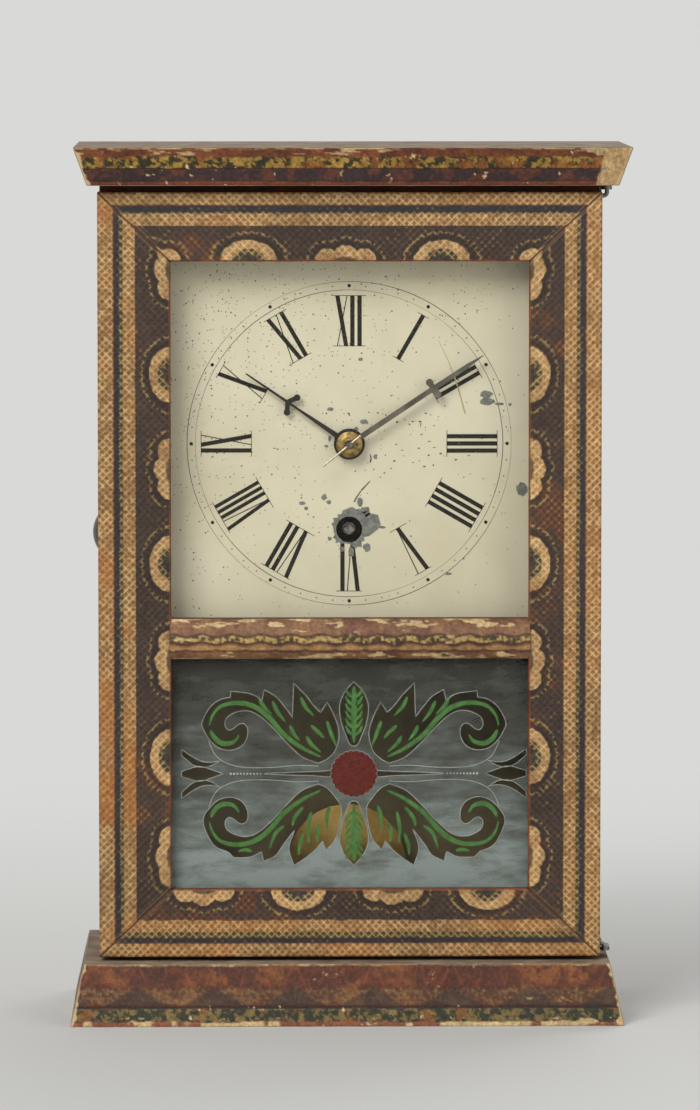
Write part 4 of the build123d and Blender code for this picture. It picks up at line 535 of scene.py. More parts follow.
size = add(tree, "MapRange", {"Value": shares.outputs["Green"], "To Min": 0.06, "To Max": 0.17})
within = add(tree, "Math", {0: cell.outputs["Distance"], 1: size.outputs[0]}, operation="LESS_THAN")
speck = add(tree, "Math", {0: chosen.outputs[0], 1: within.outputs[0]}, operation="MULTIPLY")
pepper = add(tree, "TexVoronoi", {"Vector": place, "Scale": 1 / (pepper_pitch * MM), "Randomness": 1.0})
pepper_share = add(tree, "SeparateColor", {"Color": pepper.outputs["Color"]})
pepper_chosen = add(tree, "Math", {0: pepper_share.outputs["Blue"], 1: crowd_mix.outputs[0]},
                    operation="LESS_THAN")
pepper_dot = add(tree, "Math", {0: pepper.outputs["Distance"], 1: 0.2}, operation="LESS_THAN")
pepper_here = add(tree, "Math", {0: pepper_dot.outputs[0], 1: pepper_chosen.outputs[0]},
                  operation="MULTIPLY")
pepper_faint = add(tree, "Math", {0: pepper_here.outputs[0], 1: 0.6}, operation="MULTIPLY")
marks = add(tree, "Math", {0: speck.outputs[0], 1: pepper_faint.outputs[0]}, operation="MAXIMUM")
painted = add(tree, "Mix", {"Factor": marks.outputs[0]}, data_type="RGBA")
tree.links.new(ramp.outputs["Color"], painted.inputs[6])
painted.inputs[7].default_value = speck_colour
gloss = add(tree, "MapRange", {"Value": cloud.outputs["Fac"], "From Min": 0.3, "From Max": 0.7,
                               "To Min": 0.38, "To Max": 0.5})
bump = add(tree, "Bump", {"Height": cloud.outputs["Fac"], "Strength": 0.5, "Distance": 0.15 * MM})
tree.links.new(painted.outputs[2], shader.inputs["Base Color"])
tree.links.new(gloss.outputs[0], shader.inputs["Roughness"])
tree.links.new(bump.outputs[0], shader.inputs["Normal"])

# Thin window glass: almost nothing shows but a faint haze of age
window_glass = mottled_finish(
    "window_glass", [(0.3, "#B4B8AC"), (0.7, "#C8CCC2")], 30, roughness=(0.05, 0.12), relief=0.01,
    Alpha=0.025, IOR=1.5, Transmission_Weight=0.6)

# Frosted ground painted on the back of the tablet: dark olive at the head, which is painted shade, and pale
# blue-grey at the foot, which is painted light
frosted_paint_painted_shade, tree, shader = start_finish("frosted_paint_painted_shade", IOR=1.5, Alpha=0.86, Specular_IOR_Level=0.2)
place = add(tree, "TexCoord").outputs["Object"]
axes = add(tree, "SeparateXYZ", {"Vector": place})
brush = add(tree, "Mapping", {"Vector": place, "Scale": (0.35, 1, 1)}).outputs[0]
wash = add(tree, "TexNoise", {"Vector": brush, "Scale": 1 / (7 * MM), "Detail": 8.0, "Roughness": 0.66})
# Height on the tablet sets painted shade towards the head and painted light towards the foot; the brush
# wash only varies it
tone = add(tree, "MapRange", {"Value": axes.outputs["Y"], "From Min": opening_foot * MM,
                              "From Max": divider_low[2] * MM, "To Min": 0.0, "To Max": 1.0})
shift = add(tree, "MapRange", {"Value": wash.outputs["Fac"], "From Min": 0.25, "From Max": 0.75,
                               "To Min": -0.42, "To Max": 0.42})
painted_shade_and_wash = add(tree, "Math", {0: tone.outputs[0], 1: shift.outputs[0]}, operation="ADD")
ramp = add(tree, "ValToRGB", {"Fac": painted_shade_and_wash.outputs[0]})
set_ramp(ramp.color_ramp, [(0.0, "#8D9893"), (0.33, "#686E68"), (0.66, "#494A43"), (1.0, "#302F28")])
grain = add(tree, "TexNoise", {"Vector": place, "Scale": 1 / (0.5 * MM), "Detail": 3.0})
shade = add(tree, "MapRange", {"Value": grain.outputs["Fac"], "From Min": 0.3, "From Max": 0.7,
                               "To Min": 0.88, "To Max": 1.1})
washed = add(tree, "HueSaturation", {"Color": ramp.outputs["Color"], "Value": shade.outputs[0]})
gloss = add(tree, "MapRange", {"Value": wash.outputs["Fac"], "To Min": 0.4, "To Max": 0.6})
tree.links.new(washed.outputs[0], shader.inputs["Base Color"])
tree.links.new(gloss.outputs[0], shader.inputs["Roughness"])

finish_of = {
    stained_pine: ["door_left_stile", "door_right_stile", "door_top_rail", "door_bottom_rail",
                   "door_divider", "glazing_beads"],
    lining_paper: ["case_left_side", "case_right_side", "case_top"],
    dusty_paper: ["cornice_board", "base_board", "base_front_moulding", "base_left_moulding",
                  "base_right_moulding", "cornice_front_moulding", "cornice_left_moulding",
                  "cornice_right_moulding"],
    pine_upright: ["backboard"],
    pine_across: ["base_glue_blocks", "dial_blocks"],
    turned_wood: ["latch_knob"],
    dial_enamel: ["dial"],
    rag_paper: ["paper_label"],
    window_glass: ["upper_glass", "tablet_glass"],
    old_brass: ["hand_washer", "hour_wheel", "minute_wheel", "centre_wheel", "third_wheel",
                "escape_wheel", "great_wheel", "cannon_pinion"],
    # the movement's plates carry painted shade: their brass is painted nearly black
    plate_brass_painted_shade: ["front_plate", "back_plate"],
    gilt_foil: ["bob"],
    bright_steel: ["hand_pin"],
    black_steel: ["hour_hand"],
    rubbed_steel: ["minute_hand"],
    dull_steel: ["centre_arbor", "centre_pinion", "third_arbor", "escape_arbor", "winding_arbor",
                 "ratchet_wheel", "click", "click_spring", "mainspring", "mounting_posts",
                 "mounting_screws", "plate_pillars", "plate_studs", "verge", "pendulum_rod",
                 "rating_nut", "hinge_brackets", "hinge_pintles", "latch_hook", "latch_staple",
                 "dial_nails"],
}
for finish, nodes in finish_of.items():
    for node in nodes:
        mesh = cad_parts[node].data
        mesh.materials.clear()
        mesh.materials.append(finish)


# Meshes

def make_piece(name, points, faces, finish, body, smooth=True):
    """A mesh piece from points in millimetres, riding on a body."""
    mesh = bpy.data.meshes.new(name)
    mesh.from_pydata((np.asarray(points, float) * MM).tolist(), [], [list(map(int, f)) for f in faces])
    mesh.materials.append(finish)
    mesh.polygons.foreach_set("use_smooth", [smooth] * len(mesh.polygons))
    mesh.update()
    piece = bpy.data.objects.new(name, mesh)
    bpy.context.scene.collection.objects.link(piece)
    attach(piece, body)
    return piece


def paper_piece(name, points, colours, outward, body):
    """A sheet over a grid of points, with its ink as vertex colours. Its edges are tucked into the wood."""
    rows, columns = points.shape[:2]
    points = np.clip(points, clock_low, clock_high)
    corner = np.arange(rows * columns).reshape(rows, columns)
    quads = np.stack([corner[:-1, :-1], corner[1:, :-1], corner[1:, 1:], corner[:-1, 1:]], -1)
    r, c = rows // 2, columns // 2
    facing = np.cross(points[r + 1, c] - points[r, c], points[r, c + 1] - points[r, c])
    if np.dot(facing, outward) < 0:
        quads = quads[..., ::-1]
    piece = make_piece(name, points.reshape(-1, 3), quads.reshape(-1, 4), printed_paper, body)
    ink = piece.data.color_attributes.new("ink", "FLOAT_COLOR", "POINT")
    filled = np.concatenate([np.clip(colours, 0, 1), np.ones((rows, columns, 1))], -1)
    ink.data.foreach_set("color", filled.astype(np.float32).ravel())
    return piece


def profile_of(width, depth):
    """The line that the door's paper follows across a member, as (u, y, inward u, inward y), from the
    glass rebate round the inner arris, over the face and round the outer arris to the back."""
    out = arris_radius + paper_lift
    line = [(-paper_lift, y, -1, 0) for y in rebate_steps]
    for angle in np.radians((0, 30, 60)):
        line.append((arris_radius - out * math.cos(angle), arris_radius - out * math.sin(angle),
                     -math.cos(angle), -math.sin(angle)))
    count = round((width - 2 * arris_radius) / print_spacing)
    line += [(u, -paper_lift, 0, -1) for u in np.linspace(arris_radius, width - arris_radius, count)]
    for angle in np.radians((60, 30, 0)):
        line.append((width - arris_radius + out * math.cos(angle),
                     arris_radius - out * math.sin(angle), math.cos(angle), -math.sin(angle)))
    line += [(width + paper_lift, y, 1, 0) for y in np.arange(1.3, depth - 0.2, side_spacing)]
    return np.array(line)


# Door papers: scallop centres are heights on the stiles and places across the clock on the rails
door_depth = door_back - door_front
band_edges = (12.2, 16.4, 17.6, 19.6)
rail_bands = (12.3, 16.3, 16.9, 19.3)
foot_bands = (10.9, 14.8, 17.0, 18.9)
members = {
    "left": (-1, 0, opening_left, opening_foot, opening_head, stile_width, rail_width,
             [225.7, 160.1, 92.8], [262, 193, 126.5, 58], band_edges, 0.6),
    "right": (1, 0, opening_right, opening_foot, opening_head, stile_width, rail_width,
              [225.7, 160.1, 92.8], [262, 193, 126.5, 58], band_edges, 0.15),
    "top": (1, 2, opening_head, opening_left, opening_right, rail_width, stile_width,
            [-34.9, 31.8], [-69, -1.5, 69], rail_bands, 0.15),
    "bottom": (-1, 2, opening_foot, opening_left, opening_right, rail_width, stile_width,
               [-18.0, 47.7], [-50.8, 14.9], foot_bands, 0.35),
}
for seed, (side, spec) in enumerate(members.items()):
    sign, axis, inner, low, high, width, cross, shells, clouds, bands, orange = spec
    line = profile_of(width, door_depth)
    count = round((high - low + 2 * cross) / print_spacing / 1.06)
    t = np.linspace(0, 1, count)[None, :]
    u, y = line[:, 0][:, None], line[:, 1][:, None]
    slope = np.clip(u, 0, width) * cross / width
    a = (low - slope) + (high - low + 2 * slope) * t
    u_grid = np.broadcast_to(u, a.shape)
    y_grid = np.broadcast_to(y, a.shape)
    colours, height = door_print(a, u_grid, 100 + 40 * seed, shells, clouds, bands, orange)
    rim = np.broadcast_to(step(y, 1.0, 2.2) * (u > width / 2), a.shape)
    stain = cloudy(300 + seed, a, y_grid, 7)
    side_ink = over(EDGE_RUST * 0.75, tint("#40241A"), stain)
    colours = over(colours, side_ink, rim)
    wall = np.broadcast_to((y > 0.9) * (u < 0) * 1.0, a.shape)
    colours = over(colours, EDGE_RUST * (0.45 + 0.5 * stain)[..., None], wall)
    end = np.minimum(a - (low - slope), (high + slope) - a) * width / math.hypot(width, cross)
    colours = over(colours, RED_HOLLOW * 0.45, 0.8 * (1 - step(end, 0.12, 0.5)))
    colours = over(colours, BARE_TAN, 0.14 * step(end, 0.5, 0.7) * (1 - step(end, 1.0, 1.3)))
    edge_gap = np.minimum(width - u_grid, 30)
    worn = step(cloudy(320 + seed, a, u_grid * 0.4, 4.5) - 0.35 * step(edge_gap, 0.4, 1.2), 0.9, 0.97)
    colours = over(colours, WORN_CREAM * 0.8, worn * (1 - rim))
    lift = emboss_height * height * (u_grid > 0.2) * (u_grid < width - 0.2)
    lift[:, 0] = lift[:, -1] = -2.5 * paper_lift
    lift[0, :] = lift[-1, :] = -3 * paper_lift
    across = sign * (u_grid + lift * line[:, 2][:, None]) + inner
    depth = door_front + y_grid + lift * line[:, 3][:, None]
    points = np.stack([across, depth, a] if axis == 0 else [a, depth, across], -1)
    paper_piece(f"door_{side}_paper", points, colours, (0, -1, 0), "door")

# Divider paper over its half round
divider_round = 3.2
half_height = (divider_high[2] - divider_low[2]) / 2
round_radius = (half_height**2 + divider_round**2) / (2 * divider_round)
spread_angle = math.asin(half_height / round_radius)
arc_length = 2 * round_radius * spread_angle
v = np.linspace(0, arc_length, 44)[:, None]
divider_tuck = 0.4
columns = round((opening_right - opening_left) / print_spacing)
a = np.linspace(opening_left - divider_tuck, opening_right + divider_tuck, columns)[None, :]
v, a = np.broadcast_arrays(v, a)
colours, height = divider_print(a, v, 700, arc_length)
angle = v / round_radius - spread_angle
radius = round_radius + paper_lift + emboss_height * height
radius = np.where((v < 0.1) | (v > arc_length - 0.1), round_radius - 0.2, radius)
points = np.stack([a, divider_low[1] + round_radius - radius * np.cos(angle),
                   (divider_low[2] + divider_high[2]) / 2 + radius * np.sin(angle)], -1)
paper_piece("divider_paper", points, colours, (0, -1, 0), "door")


def moulding_paper(name, top_line, foot_line, outward, print_of, seed):
    """Paper over one flat, sloping face of a moulding, between the lines of its top and foot."""
    top, foot = np.array(top_line, float), np.array(foot_line, float)
    drop = np.linalg.norm(foot.mean(0) - top.mean(0))
    rows = round(drop / print_spacing)
    columns = round(np.linalg.norm(foot[1] - foot[0]) / print_spacing)
    s = np.linspace(0, 1, rows)[:, None, None]
    t = np.linspace(0, 1, columns)[None, :, None]
    flat = (top[0] * (1 - t) + top[1] * t) * (1 - s) + (foot[0] * (1 - t) + foot[1] * t) * s
    along = (foot[1] - foot[0]) / np.linalg.norm(foot[1] - foot[0])
    a = flat @ along
    v = np.broadcast_to(s[..., 0] * drop, a.shape)
    length = np.linalg.norm(top[1] - top[0])
    colours, height = print_of(a, v, seed, length)
    end = np.minimum(a - a[:, :1], a[:, -1:] - a)
    arris = 1 - step(end + 1.6 * (cloudy(seed + 50, v, a, 3) - 0.5), 0.4, 1.1)
    colours = over(colours, WORN_CREAM * 0.9, arris)
    normal = np.cross(flat[-1, 0] - flat[0, 0], along)
    normal = normal / np.linalg.norm(normal)
    normal = normal if np.dot(normal, outward) > 0 else -normal
    lift = paper_lift + emboss_height * 0.8 * height
    lift[0, :] = lift[-1, :] = -paper_lift
    lift[:, 0] = lift[:, -1] = -paper_lift
    paper_piece(name, flat + lift[..., None] * normal, colours, outward, "case")


for part, print_of, seed in (("base", base_print, 900), ("cornice", cornice_print, 1000)):
    left, right, front = (f"{part}_{side}_moulding" for side in ("left", "right", "front"))
    top_y, foot_y = level(front, True)[0][1], level(front, False)[0][1]
    back_top, back_foot = level(left, True)[1][1], level(left, False)[1][1]
    top_x = (level(left, True)[0][0], level(right, True)[1][0])
    foot_x = (level(left, False)[0][0], level(right, False)[1][0])
    top_z, foot_z = level(front, True)[0][2], level(front, False)[0][2]
    moulding_paper(f"{part}_front_paper", [(top_x[0], top_y, top_z), (top_x[1], top_y, top_z)],
                   [(foot_x[0], foot_y, foot_z), (foot_x[1], foot_y, foot_z)], (0, -1, 0), print_of, seed)
    for i, (side, way) in enumerate((("left", -1), ("right", 1))):
        moulding_paper(f"{part}_{side}_paper", [(top_x[i], top_y, top_z), (top_x[i], back_top, top_z)],
                       [(foot_x[i], foot_y, foot_z), (foot_x[i], back_foot, foot_z)], (way, 0, 0),
                       print_of, seed + 60 * (i + 1))


# Thin strokes of paint, for the dial and the tablet

layer_step, layer_count = 0.0025, 9


class Slabs:
    """Flat closed outlines in the clock's face plane, each given a thickness, gathered into one mesh."""

    def __init__(self, front, back):
        self.front, self.back, self.points, self.faces = front, back, [], []
        self.laid = 0

    def next_front(self):
        """Each stroke lies a hair over the last few, so that none share one face."""
        self.laid += 1
        return self.front - layer_step * (self.laid % layer_count)

    def outline(self, xz):
        """Adds a closed outline of (x, z) points as a solid slab."""
        first, count, front = len(self.points), len(xz), self.next_front()
        area = sum(xz[i - 1][0] * xz[i][1] - xz[i][0] * xz[i - 1][1] for i in range(count))
        xz = list(xz) if area > 0 else list(xz)[::-1]
        self.points += [(x, front, z) for x, z in xz] + [(x, self.back, z) for x, z in xz]
        self.faces.append(range(first, first + count))
        self.faces.append(range(first + 2 * count - 1, first + count - 1, -1))
        for i in range(count):
            j = (i + 1) % count
            self.faces.append((first + i, first + count + i, first + count + j, first + j))

    def ribbon(self, path, widths):
        """Adds a strip along a path of (x, z) points with a width at each."""
        path, widths = np.asarray(path, float), np.asarray(widths, float)
        along = np.gradient(path, axis=0)
        side = np.stack([-along[:, 1], along[:, 0]], 1)
        side = side / np.maximum(np.linalg.norm(side, axis=1), 1e-9)[:, None] * widths[:, None] / 2
        left, right = path + side, path - side
        first, n, front = len(self.points), len(path), self.next_front()
        for x, z in np.concatenate([left, right]):
            self.points.append((x, front, z))
        for x, z in np.concatenate([left, right]):
            self.points.append((x, self.back, z))
        at = lambda row, k: first + row * n + k
        for k in range(n - 1):
            self.faces.append((at(0, k), at(1, k), at(1, k + 1), at(0, k + 1)))
            self.faces.append((at(2, k), at(2, k + 1), at(3, k + 1), at(3, k)))
            self.faces.append((at(0, k), at(0, k + 1), at(2, k + 1), at(2, k)))
            self.faces.append((at(1, k), at(3, k), at(3, k + 1), at(1, k + 1)))
        self.faces.append((at(0, 0), at(2, 0), at(3, 0), at(1, 0)))
        self.faces.append((at(0, n - 1), at(1, n - 1), at(3, n - 1), at(2, n - 1)))

    def piece(self, name, finish, body, slot):
        return make_piece(name, self.points, self.faces, finish, body, smooth=False)


# Dial painting, laid on the enamel as thin paint

def disc(centre, radius, count):
    """A round outline about a centre."""
    return [(centre[0] + radius * math.cos(k * TAU / count), centre[1] + radius * math.sin(k * TAU / count))
            for k in range(count)]


numeral_inner, numeral_outer = 34.0, 51.5
thick_stroke, thin_stroke, serif_line = 1.5, 0.34, 0.22
stroke_pitch, serif_reach = 2.5, 0.9
letter_width = {"I": stroke_pitch, "V": 4.7, "X": 4.7}
letter_strokes = {
    "I": [(0.0, 0.0, thick_stroke)],
    "V": [(-1.75, 0.25, thick_stroke), (1.9, 0.55, thin_stroke)],
    "X": [(-1.6, 1.45, thick_stroke), (1.75, -1.6, thin_stroke)],
}
numerals = ["XII", "I", "II", "III", "IIII", "V", "VI", "VII", "VIII", "IX", "X", "XI"]
wide_numeral = 0.86

paint = Slabs(dial_front - 0.04, dial_front + 0.02)
for hour, word in enumerate(numerals):
    turn = hour * TAU / 12
    squeeze = wide_numeral if len(word) == 4 and "V" in word else 1.0

    def on_dial(s, r):
        return (hub_x + r * math.sin(turn) + s * math.cos(turn),
                hub_z + r * math.cos(turn) - s * math.sin(turn))

    def stroke(foot, head, half, low, high):
        paint.outline([on_dial(foot - half, low), on_dial(foot + half, low),
                       on_dial(head + half, high), on_dial(head - half, high)])

    total = sum(letter_width[letter] for letter in word) * squeeze
    place = -total / 2
    for letter in word:
        middle = place + letter_width[letter] * squeeze / 2
        place += letter_width[letter] * squeeze
        for head, foot, width in letter_strokes[letter]:
            wide = width / 2 * (squeeze if width > 1 else 1)
            stroke(middle + foot * squeeze, middle + head * squeeze, wide, numeral_inner, numeral_outer)
    for r in (numeral_inner, numeral_outer):
        stroke(0, 0, total / 2 + serif_reach, r - serif_line / 2, r + serif_line / 2)
five_minute_dot, minute_dot, dot_circle = 0.62, 0.24, 54.95
for minute in range(60):
    turn = minute * TAU / 60
    centre = (hub_x + dot_circle * math.sin(turn), hub_z + dot_circle * math.cos(turn))
    radius = five_minute_dot if minute % 5 == 0 else minute_dot
    paint.outline(disc(centre, radius, 12))
paint.piece("dial_numerals", numeral_paint, "case", "enamelled_zinc")

rings = Slabs(dial_front - 0.03, dial_front + 0.02)
ring_line = 0.24
for radius in (56.4, 53.5):
    sweep = np.linspace(0, TAU, 181)
    path = np.stack([hub_x + radius * np.sin(sweep), hub_z + radius * np.cos(sweep)], 1)
    fade = 0.75 + 0.35 * np.sin(3 * sweep + radius)
    rings.ribbon(path, ring_line * fade)
rings.piece("dial_rings", faint_paint, "case", "enamelled_zinc")

# Flakes and scratches, placed by their middles in the photograph's pixels
dial_pixel = 0.3475
hub_pixel = (350.0, 446.0)


def on_face(px, py):
    """A place on the dial, in millimetres, from a pixel of the photograph."""
    return hub_x + (px - hub_pixel[0]) * dial_pixel, hub_z + (hub_pixel[1] - py) * dial_pixel


def ragged(centre, half_width, half_height, rng, count=26, rough=0.3):
    """A ragged closed outline about a centre."""
    spans = 1 + rough * (rng.random(count) - 0.5) * 2
    spans = 0.6 * spans + 0.2 * np.roll(spans, 1) + 0.2 * np.roll(spans, -1)
    return [(centre[0] + half_width * s * math.cos(k * TAU / count),
             centre[1] + half_height * s * math.sin(k * TAU / count)) for k, s in enumerate(spans)]


rng = np.random.default_rng(31)
zinc = Slabs(dial_front - 0.07, dial_front + 0.02)
winding_hole_radius = 4.6
ring_count = 40
for k in range(ring_count):
    t0, t1 = k * TAU / ring_count, (k + 1) * TAU / ring_count
    reach = [winding_hole_radius + 1.7 + 1.5 * math.sin(3 * t + 0.6) * math.cos(2 * t)
             + 3.4 * max(0, math.cos(t - 0.35)) ** 3 + 1.0 * math.sin(11 * t) * math.cos(7 * t)
             for t in (t0, t1)]
    reach = [max(r, winding_hole_radius + 0.4) for r in reach]
    near = winding_hole_radius + 0.05
    zinc.outline([(hub_x + near * math.cos(t0), winding_z + near * math.sin(t0)),
                  (hub_x + reach[0] * math.cos(t0), winding_z + reach[0] * math.sin(t0)),
                  (hub_x + reach[1] * math.cos(t1), winding_z + reach[1] * math.sin(t1)),
                  (hub_x + near * math.cos(t1), winding_z + near * math.sin(t1))])
flakes = [(371, 520, 1.7, 1.6), (366, 513, 1.6, 1.2), (361, 505, 1.0, 1.5), (376, 525, 1.5, 0.6),
          (383, 530, 1.2, 0.5), (367.6, 550.5, 1.2, 1.5), (352, 555, 1.0, 1.6), (343, 552, 0.9, 0.8),
          (325, 500, 1.0, 1.0), (329.5, 505, 0.8, 0.7), (303, 506, 1.0, 0.7), (307, 511, 0.8, 0.6),
          (364.5, 424, 1.5, 0.9), (357, 431, 0.8, 0.6), (331, 411.5, 1.2, 0.7), (330.6, 441, 0.6, 0.9),
          (327, 448.5, 0.7, 0.5), (487, 397, 2.1, 1.3), (489, 404, 2.3, 1.2), (500, 406.5, 1.6, 0.5),
          (523, 492, 1.8, 2.2), (330.6, 541.6, 0.8, 0.7), (361.5, 361.5, 0.8, 0.6), (511, 407, 0.6, 0.5),
          (449, 577, 1.3, 0.5), (376.5, 459, 0.7, 0.9)]
for px, py, half_width, half_height in flakes:
    zinc.outline(ragged(on_face(px, py), half_width, half_height, rng))
zinc.piece("dial_bare_zinc", bare_zinc, "case", "enamelled_zinc")

scratches = Slabs(dial_front - 0.05, dial_front + 0.02)
scratch_lines = [[(371, 483.5), (366, 489), (362.5, 492.5)], [(362.5, 492.5), (358, 499), (355, 504.6)],
                 [(371, 457), (372, 461), (371, 465)], [(374, 459), (377, 461)]]
for line in scratch_lines:
    path = [on_face(*p) for p in line]
    scratches.ribbon(path, np.linspace(0.35, 0.6, len(path)))
cluster_x, cluster_y, cluster_count = 418, 432, 46
for _ in range(cluster_count):
    px, py = rng.normal(cluster_x, 34), rng.normal(cluster_y, 26)
    if abs(px - cluster_x) < 75 and abs(py - cluster_y) < 55:
        half_width, half_height = 0.16 + 0.4 * rng.random() ** 2, 0.14 + 0.22 * rng.random()
        scratches.outline(ragged(on_face(px, py), half_width, half_height, rng, 9))
corner_x, corner_y, corner_count = 190, 285, 90
for _ in range(corner_count):
    px, py = corner_x + 330 * rng.random() ** 1.5, corner_y + 290 * rng.random() ** 1.6
    half_width, half_height = 0.1 + 0.28 * rng.random() ** 3, 0.1 + 0.2 * rng.random() ** 2
    scratches.outline(ragged(on_face(px, py), half_width, half_height, rng, 8))
scratches.piece("dial_scratches", dark_scratch, "case", "enamelled_zinc")

stains = Slabs(dial_front - 0.045, dial_front + 0.02)
stains.ribbon([on_face(439, 342), on_face(450, 365), on_face(459, 390), on_face(466, 416)],
              [0.15, 0.3, 0.5, 0.6])
stains.piece("dial_stain", stain_brown, "case", "enamelled_zinc")

# Tablet painting on the back of the lower glass. Places are millimetres out and up from the rosette.
rosette_x, rosette_z = 1.5, 86.3
rosette_radius = 7.7


def drawn(points, sharp=(), steps=5, closed=True):
    """A smooth line through the points that keeps a corner at each point numbered in sharp."""
    points = np.asarray(points, float)
    n, line = len(points), []
    for i in range(n if closed else n - 1):
        p0, p1, p2, p3 = (points[(i + k) % n] for k in (-1, 0, 1, 2))
        if not closed:
            p0 = points[max(i - 1, 0)]
            p3 = points[min(i + 2, n - 1)]
        m1 = (p2 - p1) * 0.9 if i in sharp else (p2 - p0) / 2
        m2 = (p2 - p1) * 0.9 if (i + 1) % n in sharp else (p3 - p1) / 2
        for t in np.linspace(0, 1, steps, endpoint=False):
            line.append((2 * t**3 - 3 * t**2 + 1) * p1 + (t**3 - 2 * t**2 + t) * m1
                        + (3 * t**2 - 2 * t**3) * p2 + (t**3 - t**2) * m2)
    if not closed:
        line.append(points[-1])
    return np.array(line)


scroll_leaf = [(52.4, 15.7), (52.8, 18), (50.3, 23), (46.7, 25.9), (43, 26.7), (42.8, 28.9), (35.7, 27.9),
               (32, 25.6), (31.2, 29.4), (27.1, 26.9), (23.8, 23), (21.4, 19.7), (21, 31.7), (16.9, 27.5),
               (14, 23.8), (11.6, 21.4), (9.3, 25), (7.0, 20.5), (5.2, 14.5), (6.3, 8.6), (9.2, 5.2),
               (12.4, 3.6), (18.1, 5.9), (23, 10.4), (27.9, 15.7), (32.8, 20.2), (36.9, 22), (41, 21.5),
               (44.2, 19.6), (44.9, 16.9), (43.6, 15.3), (41.9, 15.8), (40.1, 17.3), (38.4, 17.5),
               (37, 15.7), (37.3, 12.4), (39.3, 9.5), (43, 8.2), (47.1, 9.1), (50.3, 12)]
scroll_corners = (4, 5, 7, 8, 11, 12, 15, 16, 21)
scroll_start = 20
lower_leaf = [(52.4, 15.4), (51.8, 19.6), (48.6, 25.2), (43.8, 27.4), (41.8, 29.4), (36.2, 29.2),
              (32.2, 27.3), (31.4, 30.7), (27.3, 28.7), (24.9, 25.2), (20.5, 19.5), (22.6, 26),
              (20.9, 32.1), (17.7, 30.1), (13.7, 26.9), (10.9, 23.6), (9.7, 26.9), (6.4, 22.8),
              (4.9, 17.2), (4.4, 12), (6.3, 8.6)]
lower_corners = (3, 4, 6, 7, 10, 12, 15, 16, 22)
centre_leaf = [(0, 32.2), (3.2, 28.5), (5, 23.8), (4.4, 18), (2.6, 13), (1.2, 10), (-1.2, 10),
               (-2.6, 13), (-4.4, 18), (-5, 23.8), (-3.2, 28.5)]
spike = [(7.6, 1.1), (14, 0.75), (22, 0.5), (31, 0.16), (31, -0.16), (22, -0.5), (14, -0.75), (7.6, -1.1)]
diamond = [(45.5, 0), (50, 1.6), (54, 2.6), (60, 0.9), (60, -0.9), (54, -2.6), (50, -1.6)]
crescent = [(46.5, 4.6), (50.5, 4.0), (54.5, 5.0), (60, 8.6), (60, 6.4), (55.5, 2.9), (51, 2.4)]
teardrop = [(50.6, 11.6), (48.3, 6.7), (44.6, 3.9), (38.5, 2.3), (28.7, 2.2), (19.7, 2.9), (12.4, 2.6)]
stem_strokes = [
    [(11.6, 5.9), (18.1, 9.1), (24.6, 14), (29.5, 19.7), (34.4, 23.4), (40.1, 24.8), (45.9, 23.8),
     (49.1, 20.6), (50.3, 16.9)],
    [(49.9, 15.3), (48.3, 12.4), (45.5, 10.6), (41.8, 11.2), (40, 13.6)]]
leaf_strokes = [
    [(28.3, 25.5), (26.7, 21.8), (23.8, 18.1)], [(18.5, 26.9), (16.9, 23.4), (13.9, 20.2)],
    [(22.2, 16.9), (21, 14), (18.9, 11.6)], [(16.5, 13.2), (14.9, 10.4), (11.6, 7.5)],
    [(9.5, 18.5), (7.9, 14), (6.1, 9.5)], [(15, 16.9), (12.2, 14.4), (10.4, 12.4)],
    [(33, 26.2), (31.4, 23.6), (28.6, 20.9)]]
quarters = [(sx, sz) for sx in (1, -1) for sz in (1, -1)]


def on_tablet(points, quarter):
    return [(rosette_x + quarter[0] * x, rosette_z + quarter[1] * z) for x, z in points]


clear_shapes = [on_tablet(drawn(scroll_leaf, scroll_corners), q) for q in quarters if q[1] > 0]
clear_shapes += [on_tablet(drawn(lower_leaf + scroll_leaf[scroll_start:], lower_corners), q)
                 for q in quarters if q[1] < 0]
clear_shapes += [on_tablet(drawn(crescent, (0, 3, 4)), q) for q in quarters]
clear_shapes += [on_tablet(drawn(centre_leaf, (0,)), (1, sz)) for sz in (1, -1)]
clear_shapes += [on_tablet(drawn(shape, (0, 3, 4)), (sx, 1)) for sx in (1, -1)
                 for shape in (spike, diamond)]
side_room, ground_foot, ground_head = 0.3, opening_foot - 0.3, divider_low[2] + 0.3
ground_edge = [(opening_left - side_room, ground_foot), (opening_right + side_room, ground_foot),
               (opening_right + side_room, ground_head), (opening_left - side_room, ground_head)]


def drawn_curve(name, lines, depth, finish, body, filled=False, radius=0.0):
    """Lines of (x, z) as one upright curve: a filled sheet with holes, or thin wires."""
    data = bpy.data.curves.new(name, "CURVE")
    data.dimensions = "2D" if filled else "3D"
    if filled:
        data.fill_mode = "BOTH"
        data.extrude = 0.02 * MM
    else:
        data.bevel_depth = radius * MM
        data.bevel_resolution = 1
    for line, closed in lines:
        spline = data.splines.new("POLY")
        spline.points.add(len(line) - 1)
        for point, (x, z) in zip(spline.points, line):
            point.co = (x * MM, z * MM, 0, 1)
        spline.use_cyclic_u = closed
    data.materials.append(finish)
    piece = bpy.data.objects.new(name, data)
    piece.matrix_world = Matrix.Translation((0, depth * MM, 0)) @ Matrix.Rotation(math.pi / 2, 4, "X")
    bpy.context.scene.collection.objects.link(piece)
    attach(piece, body)
    return piece


# The ground's colour holds painted shade at its head and painted light at its foot
drawn_curve("tablet_ground", [(ground_edge, True)] + [(shape, True) for shape in clear_shapes],
            tablet_back + 0.2, frosted_paint_painted_shade, "door", filled=True)
outlines = [(shape, True) for shape in clear_shapes]
for quarter in quarters:
    outlines.append((on_tablet(drawn(teardrop, closed=False), quarter), False))
drawn_curve("tablet_lines", outlines, tablet_back + 0.16, line_white, "door", radius=0.13)

green = Slabs(tablet_back + 0.05, tablet_back + 0.12)


